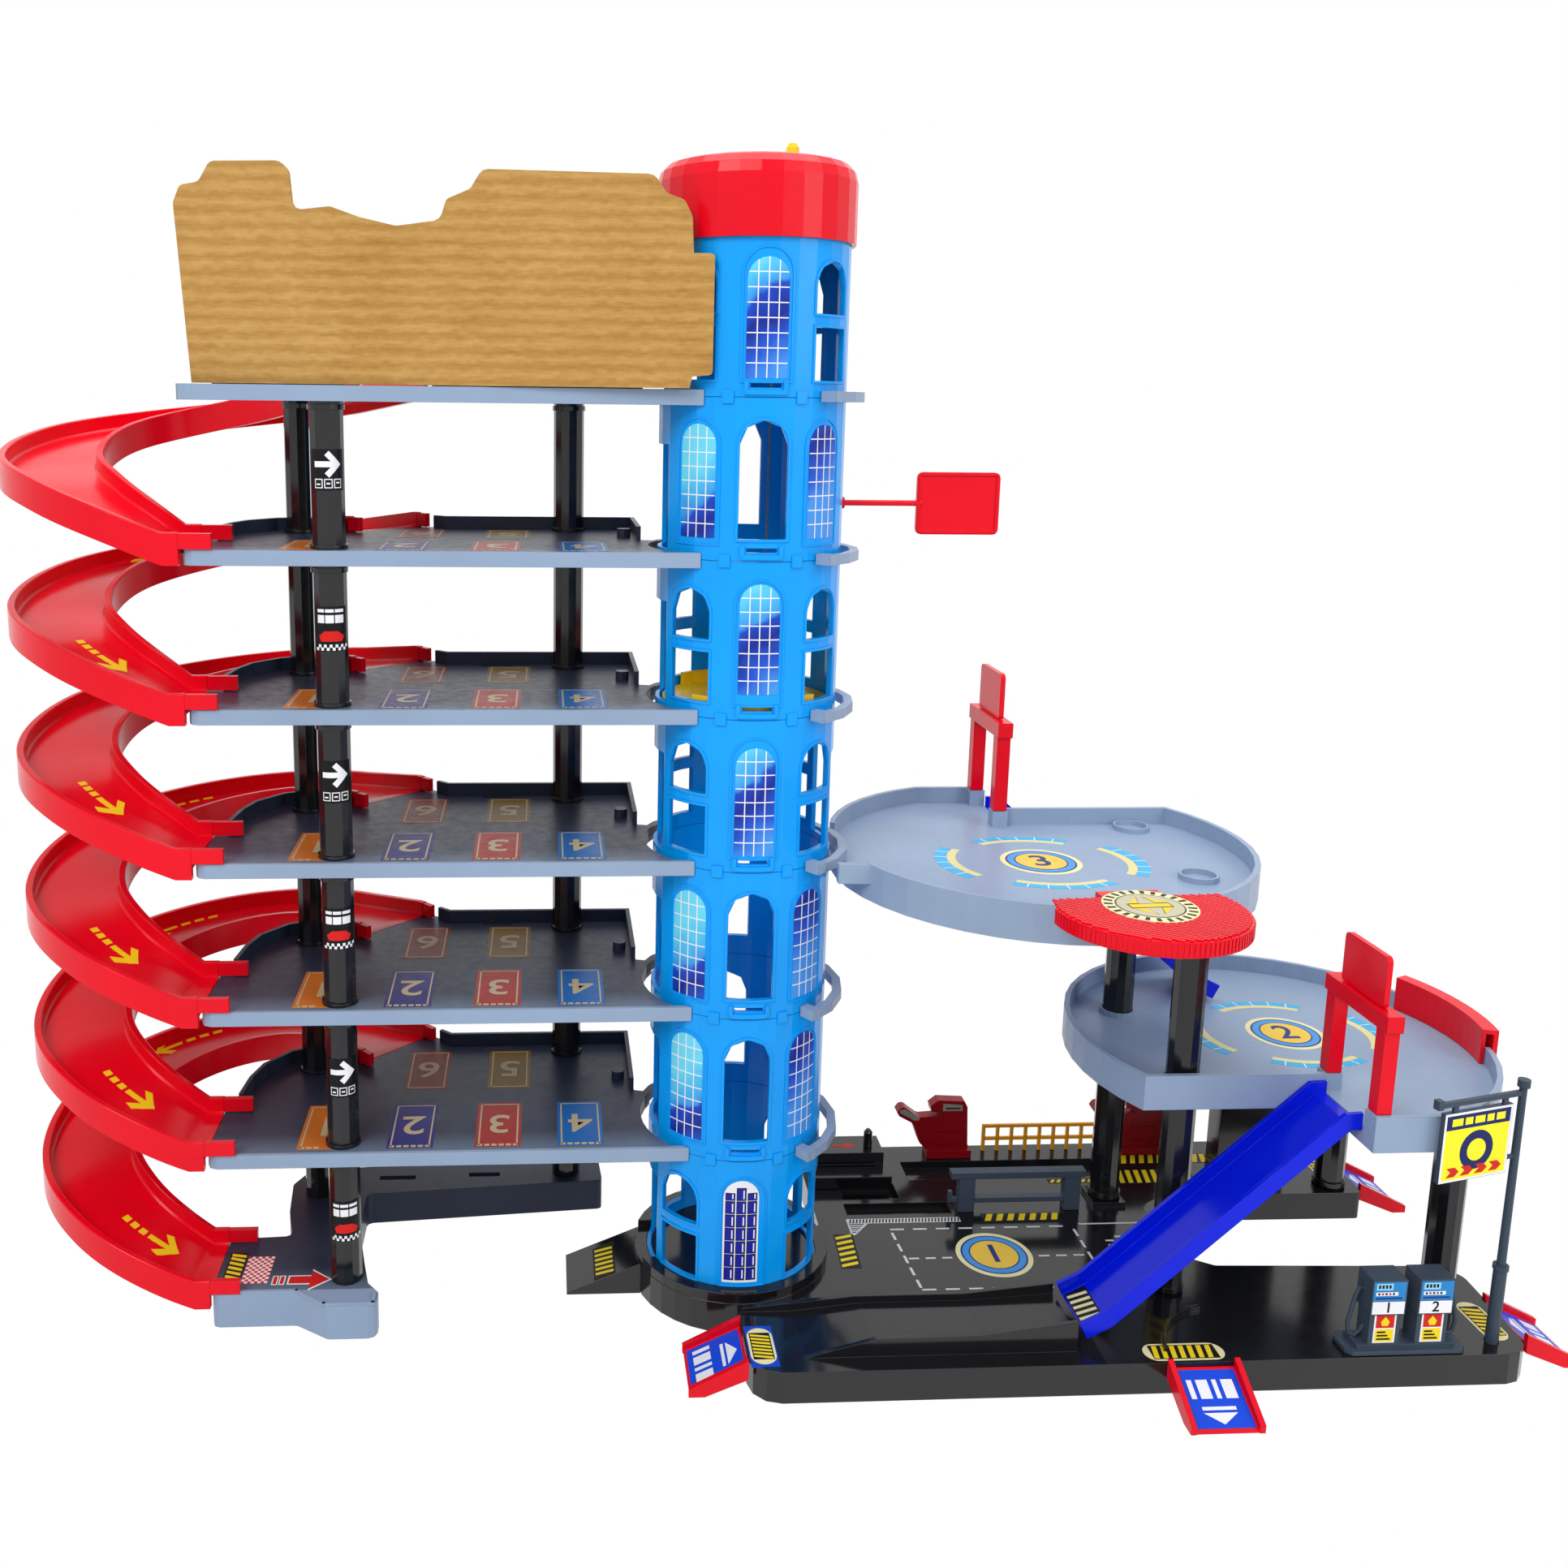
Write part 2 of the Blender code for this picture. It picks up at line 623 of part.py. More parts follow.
def make_crank():
    """Winding knob, shaft and spool in one piece"""
    knob_low = CAP_TOP + GAP
    knob_high = knob_low + 3 * MM
    flange_high = CAP_TOP - PLATE - 0.5 * MM - 10 * MM
    flange_low = flange_high - 1.5 * MM
    flange_r = 14 * MM
    core_low = BRIDGE_HIGH + 2 * MM
    profile = [
        (0, knob_high), (22 * MM, knob_high), (22 * MM, knob_low), (SHAFT_R, knob_low),
        (SHAFT_R, flange_high), (flange_r, flange_high), (flange_r, flange_low), (SPOOL_R, flange_low),
        (SPOOL_R, core_low), (PIVOT_R, core_low), (PIVOT_R, BRIDGE_LOW + MM), (0, BRIDGE_LOW + MM)]
    crank = turned("crank", profile, 18)
    peg = cylinder("peg", (PEG_X, 0), 3.4 * MM, knob_high - MM, knob_high + 5.5 * MM, 14)
    dome = cylinder("dome", (PEG_X, 0), 3.4 * MM, knob_high + 5.4 * MM, knob_high + 7.7 * MM, 14, 2 * MM)
    crank = join(crank, peg, dome)
    return set_origin(smooth(paint(crank, YELLOW)), (0, 0, CAP_TOP))


def make_lift():
    floor = level(LIFT_REST_DECK)
    lift = cylinder("lift_car", (0, 0), LIFT_R, floor - 3 * MM, floor, 36)
    added = []
    for front in (-90, 90):
        rail = ring_sector(LIFT_R - 2.5 * MM, LIFT_R - 0.2 * MM, front - 46, front + 46, 8)
        added.append(prism("rail", [rail], floor - MM, floor + 7 * MM))
    for side in (-1, 1):
        wall_y = side * (LIFT_R - 2.6 * MM)
        added.append(box("yoke", (CORD_X - 6 * MM, wall_y - 1.1 * MM, floor - 2 * MM),
                         (CORD_X + 6 * MM, wall_y + 1.1 * MM, floor + YOKE_HEIGHT)))
    beam = LIFT_R - 2 * MM
    added.append(box("yoke", (CORD_X - 4 * MM, -beam, floor + YOKE_HEIGHT - 4 * MM),
                     (CORD_X + 4 * MM, beam, floor + YOKE_HEIGHT - MM)))
    lift = join(lift, *added)
    return set_origin(smooth(paint(lift, YELLOW)), (0, 0, floor))


def make_cord():
    low = level(LIFT_REST_DECK) + YOKE_HEIGHT - MM + GAP
    cord = tube("lift_cord", [(CORD_X, 0, low), (CORD_X, 0, CORD_TOP)], CORD_R)
    return paint(cord, CORD_GREY, 0.7)


def make_flag():
    inside = TOWER_R - 5 * MM
    panel_start = TOWER_R / MM + 42
    panel_end = panel_start + 46
    rod = cylinder("flag", (0, 0), 1.6 * MM, inside, panel_start * MM + 3 * MM, 12)
    snap = cylinder("snap", (0, 0), 2.6 * MM, inside + 0.2 * MM, inside + 1.6 * MM, 12)
    stop = cylinder("stop", (0, 0), 3.2 * MM, TOWER_R + GAP, TOWER_R + 2 * MM, 12)
    rod = join(rod, snap, stop)
    rod.data.transform(Matrix.Translation((0, 0, FLAG_Z)) @ Matrix.Rotation(math.radians(90), 4, "Y"))
    corners = [(panel_start, -17, 3), (panel_end, -17, 3), (panel_end, 17, 3), (panel_start, 17, 3)]
    panel = prism("panel", [rounded(corners)], -1.1 * MM, 1.1 * MM,
                  Matrix.Translation((0, 0, FLAG_Z)) @ facing(0))
    inner = 14.8 * MM
    low_corner = ((panel_start + 2.2) * MM, -3 * MM, FLAG_Z - inner)
    recess = box("recess", low_corner, ((panel_end - 2.2) * MM, -0.6 * MM, FLAG_Z + inner))
    panel = cut(panel, recess)
    return set_origin(paint(join(rod, panel), RED), (TOWER_R, 0, FLAG_Z))


def base_outline():
    right = BASE_RIGHT / MM
    front = BASE_FRONT / MM
    back = BASE_BACK / MM
    return rounded([
        (-3.5, front, 17), (right, front, 15), (right + 5, -45, 8), (right - 12, -36, 5), (283, -31, 6),
        (266, -20, 8), (266, 34, 8), (283, 45, 5), (right - 4, 44, 3), (right - 2, back, 3),
        (58, back, 4), (57, 20, 0), (40, 0, 0), (0, -40, 0), (-3.5, -50, 0)])


def make_base_shell():
    outline = base_outline()
    base = prism("right_base", [outline], 0, BASE_TOP)
    foot = cylinder("foot", (0, 0), FOOT_R, 0, BASE_TOP + 0.2 * MM, FOOT_SIDES)
    base = join(base, foot)
    ceiling = BASE_TOP - PLATE
    hollow = prism("hollow", [inset(outline, BASE_WALL)], -MM, ceiling)
    shields = []
    pits = []
    for (low_x, low_y), (high_x, high_y) in PITS:
        low = Vector((low_x * MM, low_y * MM, ceiling - PIT_DEPTH))
        high = Vector((high_x * MM, high_y * MM, ceiling + 10 * MM))
        rim = Vector((WALL, WALL, 0))
        shields.append(box("shield", low - rim, high + rim))
        pits.append(box("pit", low + Vector((0, 0, PLATE)), high))
    hollow = cut(hollow, *shields)
    foot_hollow = cylinder("foot_hollow", (0, 0), FOOT_R - BASE_WALL, -MM, ceiling + 0.1 * MM, FOOT_SIDES)
    base = cut(base, hollow, foot_hollow, *pits)
    post = cylinder("post", (0, 0), REST_POST_R, 0, BASE_TOP - MM, 12)
    return join(base, post)


def road_pieces():
    """The sloped road that leads from the left entry up to the end of the front slide"""
    start = BASE_TOP - 0.5 * MM
    bed = [(22 * MM, start), (64 * MM, 22 * MM), (123 * MM, 22 * MM), (174 * MM, 25 * MM),
           (174 * MM, start)]
    near = [(24 * MM, start), (64 * MM, 28 * MM), (121 * MM, 28.5 * MM), (173 * MM, 35 * MM),
            (173 * MM, start)]
    far = [(-2 * MM, start), (-2 * MM, 20 * MM), (61 * MM, 26 * MM), (123 * MM, 26 * MM),
           (173.5 * MM, 31 * MM), (173.5 * MM, start)]
    pieces = []
    for name, line, low_y, high_y in (("bed", bed, -102.6, -64), ("near", near, -105, -102.4),
                                      ("far", far, -64.4, -61.8)):
        pieces.append(prism(name, [line], -high_y * MM, -low_y * MM, facing(0)))
    return pieces


def make_right_base():
    base = make_base_shell()
    outer = FOOT_R - 0.2 * MM
    inner = TOWER_R + GAP
    seat_low = BASE_TOP - MM
    ring = [(outer, FOOT_TOP), (outer, seat_low), (inner, seat_low), (inner, FOOT_TOP)]
    seat = turned("seat", ring, FOOT_SIDES, closed=True)
    mouth = box("mouth", (-70 * MM, -DOOR_HALF, GROUND_LEVEL), (70 * MM, DOOR_HALF, FOOT_TOP + MM))
    seat = cut(seat, mouth)
    plinth = box_mm("plinth", (234, 33, 17), (255, 54, 21))
    curb_line = arc((262 * MM, -113 * MM), 42 * MM, 100, 172, 8)
    curb = prism("curb", [strip(curb_line, 2 * MM)], BASE_TOP - MM, BASE_TOP + 2.5 * MM)
    base = join(base, seat, plinth, curb, *road_pieces())
    hole = cylinder("hole", SIGN_POST, 3.4 * MM + GAP, 8 * MM, 30 * MM, 16)
    return smooth(paint(cut(base, hole), BLACK, 0.15))


def make_slope():
    """Entry slope on the left of the tower's foot"""
    profile = in_mm((-98, 0), (-98, 1.2), (-52, 20.1), (-52, 0))
    under = in_mm((-93, -1), (-93, 1), (-52, 17.6), (-52, -1))
    slope = prism("tower_slope", [profile], -20 * MM, 18 * MM, facing(0))
    hollow = prism("hollow", [under], -18 * MM, 16 * MM, facing(0))
    foot = cylinder("foot", (0, 0), FOOT_R + GAP, -2 * MM, 30 * MM, FOOT_SIDES)
    return paint(cut(slope, hollow, foot), BLACK, 0.2)


def tray_line(edge):
    """Outline of a tray's upper side, drawn in by an edge width"""
    radius = TRAY_R - edge
    back = TRAY_BACK_Y - edge
    chord = TRAY_CHORD_Y - edge
    chord_turn = math.degrees(math.asin(chord / radius))
    back_turn = 180 - math.degrees(math.asin(back / radius))
    circle = arc((0, 0), radius, back_turn, 360 + chord_turn, 34)
    return circle + [(-edge, chord), (-edge, back)]


def make_tray(name, place, turn):
    tray = prism(name, [tray_line(0)], -TRAY_DOWN, TRAY_UP)
    above = prism("above", [tray_line(TRAY_WALL)], 0, TRAY_UP + MM)
    below = prism("below", [tray_line(TRAY_WALL)], -TRAY_DOWN - MM, -PLATE)
    half_block = TRAY_POST_BLOCK / 2
    gate = box("gate", (-2 * TRAY_WALL, TRAY_POST_INNER_Y + half_block, 0),
               (MM, TRAY_POST_OUTER_Y - half_block, TRAY_UP + MM))
    mouth = prism("mouth", [ring_sector(TRAY_R - 5 * MM, TRAY_R + MM, *TRAY_MOUTH, 8)], 0, TRAY_UP + MM)
    tray = cut(tray, above, below, gate, mouth)
    added = []
    for middle in (TRAY_POST_INNER_Y, TRAY_POST_OUTER_Y):
        added.append(box("block", (TRAY_GATE_X - half_block, middle - half_block + 0.1 * MM, -MM),
                         (-0.1 * MM, middle + half_block - 0.1 * MM, TRAY_UP - 0.1 * MM)))
    for side in (-1, 1):
        middle = (SOCKET[0], side * SOCKET[1])
        rim = [arc(middle, radius, 0, 337.5, 15) for radius in (SOCKET_R, SOCKET_R - 1.5 * MM)]
        added.append(prism("socket", rim, -0.5 * MM, 3 * MM))
    tray = join(tray, *added)
    if name == "tray_2":
        holes = [cylinder("hole", (SOCKET[0], side * SOCKET[1]), COLUMN_R + GAP, -9 * MM, 9 * MM)
                 for side in (-1, 1)]
        tray = cut(tray, *holes)
    else:
        near = -TRAY_R - 6 * MM
        far = -TRAY_R + 12 * MM
        corners = [(near, -49 * MM), (far, -50 * MM), (far, -44 * MM), (near, -43 * MM)]
        bracket = prism("bracket", [corners], -0.5 * MM, TRAY_UP - 0.2 * MM)
        tray = join(tray, bracket)
    tray.data.transform(Matrix.Translation(place) @ Matrix.Rotation(math.radians(turn), 4, "Z"))
    return smooth(paint(tray, SLATE))


def slide_profile():
    half = SLIDE_WIDTH / 2
    inner = half - PLATE
    return [(-half, SLIDE_WALL_UP), (-inner, SLIDE_WALL_UP), (-inner, 0), (inner, 0), (inner, SLIDE_WALL_UP),
            (half, SLIDE_WALL_UP), (half, -PLATE), (-half, -PLATE)]


def make_slide_front():
    top = TRAY_2[2] - GAP
    y = TRAY_2[1] - SLIDE_MIDDLE_Y
    path = [(TRAY_2[0] - 0.4 * MM, y, top), (TRAY_2[0] - 7 * MM, y, top), (191 * MM, y, 32 * MM),
            (178 * MM, y, 25.5 * MM)]
    return paint(swept("slide_front", slide_profile(), path), DEEP_BLUE)


def make_slide_rear():
    top = TRAY_3[2] - GAP
    y = TRAY_3[1] + SLIDE_MIDDLE_Y
    end = TRAY_2[2] + PLATE + 1.5 * MM
    path = [(TRAY_3[0] + 0.4 * MM, y, top), (TRAY_3[0] + 7 * MM, y, top), (303 * MM, y, end + 5 * MM),
            (313 * MM, y, end)]
    return paint(swept("slide_rear", slide_profile(), path), DEEP_BLUE)


def make_helipad():
    """Round pad with a flat rear edge and a tab that grips the upper tray's front wall"""
    radius = 46.5 * MM
    flat = 16 * MM
    outline = arc((0, 0), radius, 176, 364, 24) + [(30 * MM, flat), (-30 * MM, flat)]
    pad = prism("helipad", [outline], 0, 7.5 * MM)
    hollow = prism("hollow", [inset(outline, WALL)], -MM, 7.5 * MM - PLATE)
    pad = cut(pad, hollow)
    tab_half = 16 * MM
    tab = prism("tab", [[(-tab_half, flat - 6 * MM), (tab_half, flat - 6 * MM),
                         (tab_half, flat + 9 * MM), (-tab_half, flat + 9 * MM)]], 3.8 * MM, 7.3 * MM)
    hook = prism("hook", [[(-tab_half + 0.2 * MM, flat + 6.5 * MM), (tab_half - 0.2 * MM, flat + 6.5 * MM),
                           (tab_half - 0.2 * MM, flat + 8.8 * MM), (-tab_half + 0.2 * MM, flat + 8.8 * MM)]],
                 -4 * MM, 4 * MM)
    pad = join(pad, tab, hook)
    lean = math.radians(4)
    away = Vector((math.sin(lean), -math.cos(lean), 0))
    reach = TRAY_R + GAP + 0.6 * MM + flat
    middle = Vector(TRAY_3) + away * reach + Vector((0, 0, 8.5 * MM))
    pad.data.transform(Matrix.Translation(middle) @ Matrix.Rotation(lean, 4, "Z"))
    return paint(pad, RED)


def make_guard():
    """Double wall that closes the lower tray's outer mouth"""
    low_in = GAP
    high = 21 * MM
    step = TRAY_R - TRAY_WALL
    outer = TRAY_R + GAP
    first, last = [angle - 180 for angle in TRAY_MOUTH]
    outline = ring_sector(step - 2.8 * MM, outer + 2.5 * MM, first - 1, last + 1, 10)
    guard = prism("guard", [outline], -7 * MM, high)
    slot_line = ring_sector(step - 0.7 * MM, outer, first - 5, last + 5, 12)
    slot = prism("slot", [slot_line], -8 * MM, high - 2.5 * MM)
    under_line = ring_sector(step - 4 * MM, step + MM, first - 5, last + 5, 12)
    under = prism("under", [under_line], -8 * MM, low_in)
    guard = cut(guard, slot, under)
    guard.data.transform(Matrix.Translation(TRAY_2))
    return smooth(paint(guard, RED))


def make_gate(number, place, turn):
    """Two posts and a beam across a tray's slide opening, in the tray's own frame"""
    low = TRAY_UP + GAP
    half = GATE_POST / 2
    posts = [box("post", (TRAY_GATE_X - half, middle - half, low), (TRAY_GATE_X + half, middle + half,
                                                                 GATE_BEAM_LOW + MM))
             for middle in (TRAY_POST_INNER_Y, TRAY_POST_OUTER_Y)]
    beam = box(f"gate_{number}", (TRAY_GATE_X - half - 0.5 * MM, TRAY_POST_INNER_Y - 6 * MM, GATE_BEAM_LOW),
               (TRAY_GATE_X + half + 0.5 * MM, TRAY_POST_OUTER_Y + 6 * MM, GATE_BEAM_HIGH))
    groove = box("groove", (TRAY_GATE_X - 1.8 * MM, SLIDE_MIDDLE_Y - 8.3 * MM, GATE_BEAM_HIGH - 4 * MM),
                 (TRAY_GATE_X + 1.8 * MM, SLIDE_MIDDLE_Y + 8.3 * MM, GATE_BEAM_HIGH + MM))
    gate = cut(join(beam, *posts), groove)
    frame = Matrix.Translation(place) @ Matrix.Rotation(math.radians(turn), 4, "Z")
    gate.data.transform(frame)
    paint(gate, RED)
    outline = rounded([(-20, GATE_BEAM_HIGH / MM + 0.3, 2), (20, GATE_BEAM_HIGH / MM + 0.3, 2),
                       (20, GATE_SIGN_HIGH / MM, 3), (-20, GATE_SIGN_HIGH / MM, 3)])
    sign = prism(f"sign_{number}", [outline], -SIGN_THICK / 2, SIGN_THICK / 2,
                 Matrix.Translation((TRAY_GATE_X, SLIDE_MIDDLE_Y, 0)) @ ALONG_X)
    tongue = box("tongue", (TRAY_GATE_X - 1.4 * MM, SLIDE_MIDDLE_Y - 8 * MM, GATE_BEAM_HIGH - 3.7 * MM),
                 (TRAY_GATE_X + 1.4 * MM, SLIDE_MIDDLE_Y + 8 * MM, GATE_BEAM_HIGH + 2 * MM))
    sign = join(sign, tongue)
    sign.data.transform(frame)
    paint(sign, RED)


def make_fuel_station():
    """Kerbed island with two pumps and their hoses"""
    outline = rounded([(316, -115, 3), (382, -115, 3), (382, -97, 3), (316, -97, 3)], 1)
    island = prism("fuel_station", [outline], BASE_TOP + GAP, 20.8 * MM)
    added = [box_mm("step", (322, -112.5, 20), (376, -99.5, 23))]
    for left in (328, 354):
        added.append(box_mm("lower", (left, -112, 22), (left + 17, -101, 42)))
        added.append(box_mm("upper", (left - 1, -113.5, 41), (left + 18, -99.5, 61)))
    for side, left in ((-1, 327.5), (1, 371.5)):
        foot = Vector((left, -106, 22)) * MM
        out = Vector((side * MM, 0, 0))
        up = Vector((0, 0, MM))
        route = [foot + up * rise + out * away for rise, away in HOSE_ROUTE]
        added.append(tube("hose", route, 1.1 * MM, 1))
    return paint(join(island, *added), (0.06, 0.1, 0.15))


def make_sign_post():
    """Post with a side arm and a board in one moulding, turning in a hole of the base"""
    post = cylinder("sign_post", (0, 0), 3.4 * MM, 10 * MM, 62 * MM, 14)
    added = [cylinder("collar", (0, 0), 4 * MM, 61 * MM, 63.5 * MM, 14),
             cylinder("upper", (0, 0), 2.3 * MM, 62 * MM, SIGN_POST_TOP - 3 * MM, 12, 1.9 * MM),
             cylinder("knob", (0, 0), 3.1 * MM, SIGN_POST_TOP - 4 * MM, SIGN_POST_TOP, 12),
             box_mm("arm", (-56, -1.2, 161.5), (0.5, 1.2, 164)),
             box_mm("tip", (-57.5, -1.8, 161), (-54, 1.8, 166)),
             box_mm("hanger", (-46, -0.8, 157), (-43, 0.8, 162.5)),
             box_mm("hanger", (-13, -0.8, 157), (-10, 0.8, 162.5)),
             box_mm("brace", (-8, -0.7, 126), (0.5, 0.7, 128)),
             box_mm("board", (-52, -1.3, 119), (-7, 1.3, 158))]
    post = join(post, *added)
    post.data.transform(Matrix.Rotation(math.radians(SIGN_ARM_TURN), 4, "Z"))
    post.location = (*SIGN_POST, 0)
    return smooth(paint(post, (0.06, 0.075, 0.1)))


def make_flap(name, edge, angle):
    """Small slope clipped to the base's edge. Angle is the way it faces, from the front."""
    top = FLAP_TOP
    slope = [(0, top), (0, top - PLATE), (FLAP_LONG - 3 * MM, 0), (FLAP_LONG, 0), (FLAP_LONG, 1.2 * MM)]
    side = [(0, top + 5 * MM), (0, top - 6 * MM), (FLAP_LONG - 8 * MM, 0), (FLAP_LONG + 0.5 * MM, 0),
            (FLAP_LONG + 0.5 * MM, 4.5 * MM)]
    across = Matrix(((0, 0, 1), (1, 0, 0), (0, 1, 0))).to_4x4()
    flap = prism(name, [slope[::-1]], -FLAP_HALF + MM, FLAP_HALF - MM, across)
    walls = [prism("wall", [side[::-1]], low, low + 3 * MM, across)
             for low in (-FLAP_HALF, FLAP_HALF - 3 * MM)]
    flap = join(flap, *walls)
    out = Matrix.Rotation(math.radians(angle - 180), 4, "Z")
    flap.data.transform(Matrix.Translation((edge[0] * MM, edge[1] * MM, 0)) @ out)
    return paint(flap, RED)


def make_fence():
    low = BASE_TOP + GAP
    middle_y = FENCE_Y
    half = MM
    first = FENCE_START
    spacing = FENCE_SPACING
    posts = [box("post", (first + spacing * index - half, middle_y - half, low),
                 (first + spacing * index + half, middle_y + half, 36.5 * MM)) for index in range(1, 9)]
    rails = [box("rail", (first - half, middle_y - 0.9 * MM, height), (first + 8 * spacing + 0.9 * MM,
                                                                      middle_y + 0.9 * MM, height + 2 * MM))
             for height in (26 * MM, 35 * MM)]
    fence = box("fence", (first - half - 0.1 * MM, middle_y - half, low),
                (first + half, middle_y + half, 36 * MM))
    return paint(join(fence, *rails, *posts), ORANGE)


def make_kiosk(name, left):
    """Flat stand with a hooded head and a raised arm"""
    outline = rounded([
        (22, 5, 0), (49, 5, 0), (47.6, 36, 0), (45.5, 40, 0), (27.6, 41, 0), (22.6, 37, 0), (23.4, 33, 0),
        (29, 32.5, 0), (29.5, 30, 0), (15, 29, 3), (5, 36.8, 2), (0.2, 35, 3), (0.2, 31, 3), (11, 25, 3),
        (13.5, 18, 2), (16, 11, 4)], 1)
    stand = prism(name, [outline], -4 * MM, 4 * MM, ALONG_FRONT)
    foot = box_mm("foot", (21, -6, 0.3), (51, 6, 5.5))
    stand = join(stand, foot)
    stand.data.transform(Matrix.Translation((left * MM, BASE_BACK - 11 * MM, BASE_TOP)))
    return paint(stand, DARK_RED)


def make_platform():
    upper = box_mm("platform", (62, 76, 25), (110, 98, 34))
    lower = box_mm("lower", (62, 60, 18.3), (112, 98.5, 26))
    groove = box_mm("groove", (60, 73, 23.5), (104, 75.6, 27))
    paint(cut(join(upper, lower), groove), BLACK, 0.3)
    post = cylinder("platform_post", (101 * MM, 84 * MM), 2.8 * MM, 34 * MM + GAP, 44.5 * MM, 14)
    dome = cylinder("dome", (101 * MM, 84 * MM), 2.8 * MM, 44.4 * MM, 46.5 * MM, 14, 1.3 * MM)
    paint(join(post, dome), BLACK, 0.3)


def make_bench():
    """Counter that ends just left of the upper tray's rear column"""
    right = (TRAY_3[0] + SOCKET[0]) / MM - 17.5
    bench = box_mm("bench", (right - 85, 30, 40.5), (right, 37, 44.5))
    added = [box_mm("leg", (right - 80, 30.2, 18.3), (right - 70, 36.8, 41)),
             box_mm("leg", (right - 13, 30.2, 18.3), (right - 3, 36.8, 41)),
             box_mm("shelf", (right - 71, 31, 24), (right - 12, 36, 27)),
             box_mm("hook", (right - 86, 32, 24), (right - 79, 35, 26.5)),
             box_mm("hook", (right - 86, 32, 24.2), (right - 83.6, 35, 31))]
    return paint(join(bench, *added), (0.03, 0.045, 0.06))


def make_columns():
    deck_under = level(DECK_COUNT) - PLATE
    for name, spot in LEFT_COLUMNS.items():
        column = cylinder(name, spot, COLUMN_R, GROUND_LEVEL + GAP, deck_under - GAP)
        smooth(paint(column, BLACK, 0.35))
    tray_3_under = TRAY_3[2] - PLATE
    tray_2_under = TRAY_2[2] - PLATE
    socket_x = TRAY_3[0] + SOCKET[0]
    rear = (socket_x, TRAY_3[1] + SOCKET[1])
    front = (socket_x, TRAY_3[1] - SOCKET[1])
    runs = {
        "column_a": (rear, 21 * MM, tray_3_under),
        "column_b": (front, BASE_TOP, tray_3_under),
        "column_right_front": (COLUMN_RIGHT_FRONT, BASE_TOP, tray_2_under),
        "column_right_rear": (COLUMN_RIGHT_REAR, BASE_TOP, tray_2_under),
    }
    for name, (spot, low, high) in runs.items():
        smooth(paint(cylinder(name, spot, COLUMN_R, low + GAP, high - GAP), BLACK, 0.35))
    block_x = COLUMN_RIGHT_REAR[0] - 28 * MM
    block_y = BASE_BACK - 51 * MM
    block = box("rear_block", (block_x - 45 * MM, block_y, BASE_TOP + GAP),
                (block_x, block_y + 16 * MM, tray_2_under - GAP))
    paint(block, BLACK, 0.3)


def build():
    make_left_base()
    deck = make_deck()
    ramp = make_ramp()
    for number in range(1, DECK_COUNT + 1):
        paint(copy_of(deck, f"deck_{number}", Matrix.Translation((0, 0, level(number)))), SLATE)
        lower = level(number - 1)
        smooth(paint(copy_of(ramp, f"ramp_{number}", Matrix.Translation((0, 0, lower))), RED))
    bpy.data.objects.remove(deck)
    bpy.data.objects.remove(ramp)
    make_backdrop()
    for section in range(1, SECTION_COUNT + 1):
        make_section(section)
    make_cap()
    make_cord_bridge()
    make_crank()
    make_cord()
    make_lift()
    make_flag()
    make_right_base()
    make_slope()
    for number, place, turn in ((3, TRAY_3, 0), (2, TRAY_2, 180)):
        make_tray(f"tray_{number}", place, turn)
        make_gate(number, place, turn)
    make_slide_front()
    make_slide_rear()
    make_helipad()
    make_guard()
    make_columns()
    make_fuel_station()
    make_sign_post()
    make_flap("exit_left", (-3.8, -90), -90)
    make_flap("exit_front", (237, BASE_FRONT / MM - 0.3), 0)
    make_flap("exit_right", (BASE_RIGHT / MM + 4, -85), 90)
    make_flap("exit_rear", (BASE_RIGHT / MM - 1.7, 69), 90)
    make_fence()
    make_kiosk("kiosk_1", 123)
    make_kiosk("kiosk_2", 256)
    make_platform()
    make_bench()


clear_scene()
PARTS = new_collection("toy_garage")
build()
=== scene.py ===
"""Looks of the toy garage: plastics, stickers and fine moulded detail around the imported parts."""
import functools
import math

import bmesh
import bpy
from mathutils import Matrix, Vector


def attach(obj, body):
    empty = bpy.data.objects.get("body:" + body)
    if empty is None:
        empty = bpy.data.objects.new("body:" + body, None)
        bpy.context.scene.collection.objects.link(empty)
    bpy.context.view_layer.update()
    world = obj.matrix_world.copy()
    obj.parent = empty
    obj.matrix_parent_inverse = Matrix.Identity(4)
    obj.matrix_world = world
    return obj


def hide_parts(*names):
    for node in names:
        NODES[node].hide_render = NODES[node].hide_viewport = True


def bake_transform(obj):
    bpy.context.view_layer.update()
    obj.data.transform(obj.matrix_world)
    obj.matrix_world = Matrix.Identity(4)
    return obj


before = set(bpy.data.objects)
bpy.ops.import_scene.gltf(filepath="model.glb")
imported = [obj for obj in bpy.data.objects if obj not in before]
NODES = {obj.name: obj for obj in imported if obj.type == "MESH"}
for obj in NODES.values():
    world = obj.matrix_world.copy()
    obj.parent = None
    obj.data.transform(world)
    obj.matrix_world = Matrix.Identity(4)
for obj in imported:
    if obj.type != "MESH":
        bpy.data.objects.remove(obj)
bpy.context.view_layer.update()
MM = 0.001

# Camera: solved from the photograph, in millimetres and pixels of the 1932 pixel frame
CAMERA_AT = Vector((-110.75, -785.1, 514.16)) * MM
YAW, PITCH_DOWN, ROLL = (math.radians(turn) for turn in (3.225, 10.040, -0.648))
FOCAL_PX = 1779.2
CENTRE_PX = (771.2, 810.9)
FRAME_PX = 1932
SENSOR = 36

SKY_COLOUR = (0.93, 0.96, 1, 1)
SKY_STRENGTH = 0.55
FLOOR_COLOUR = (0.8, 0.8, 0.8, 1)
FLOOR_HALF = 6
FLOOR_DROP = 0.0002
WHITE_LIGHT = (1, 1, 1, 1)

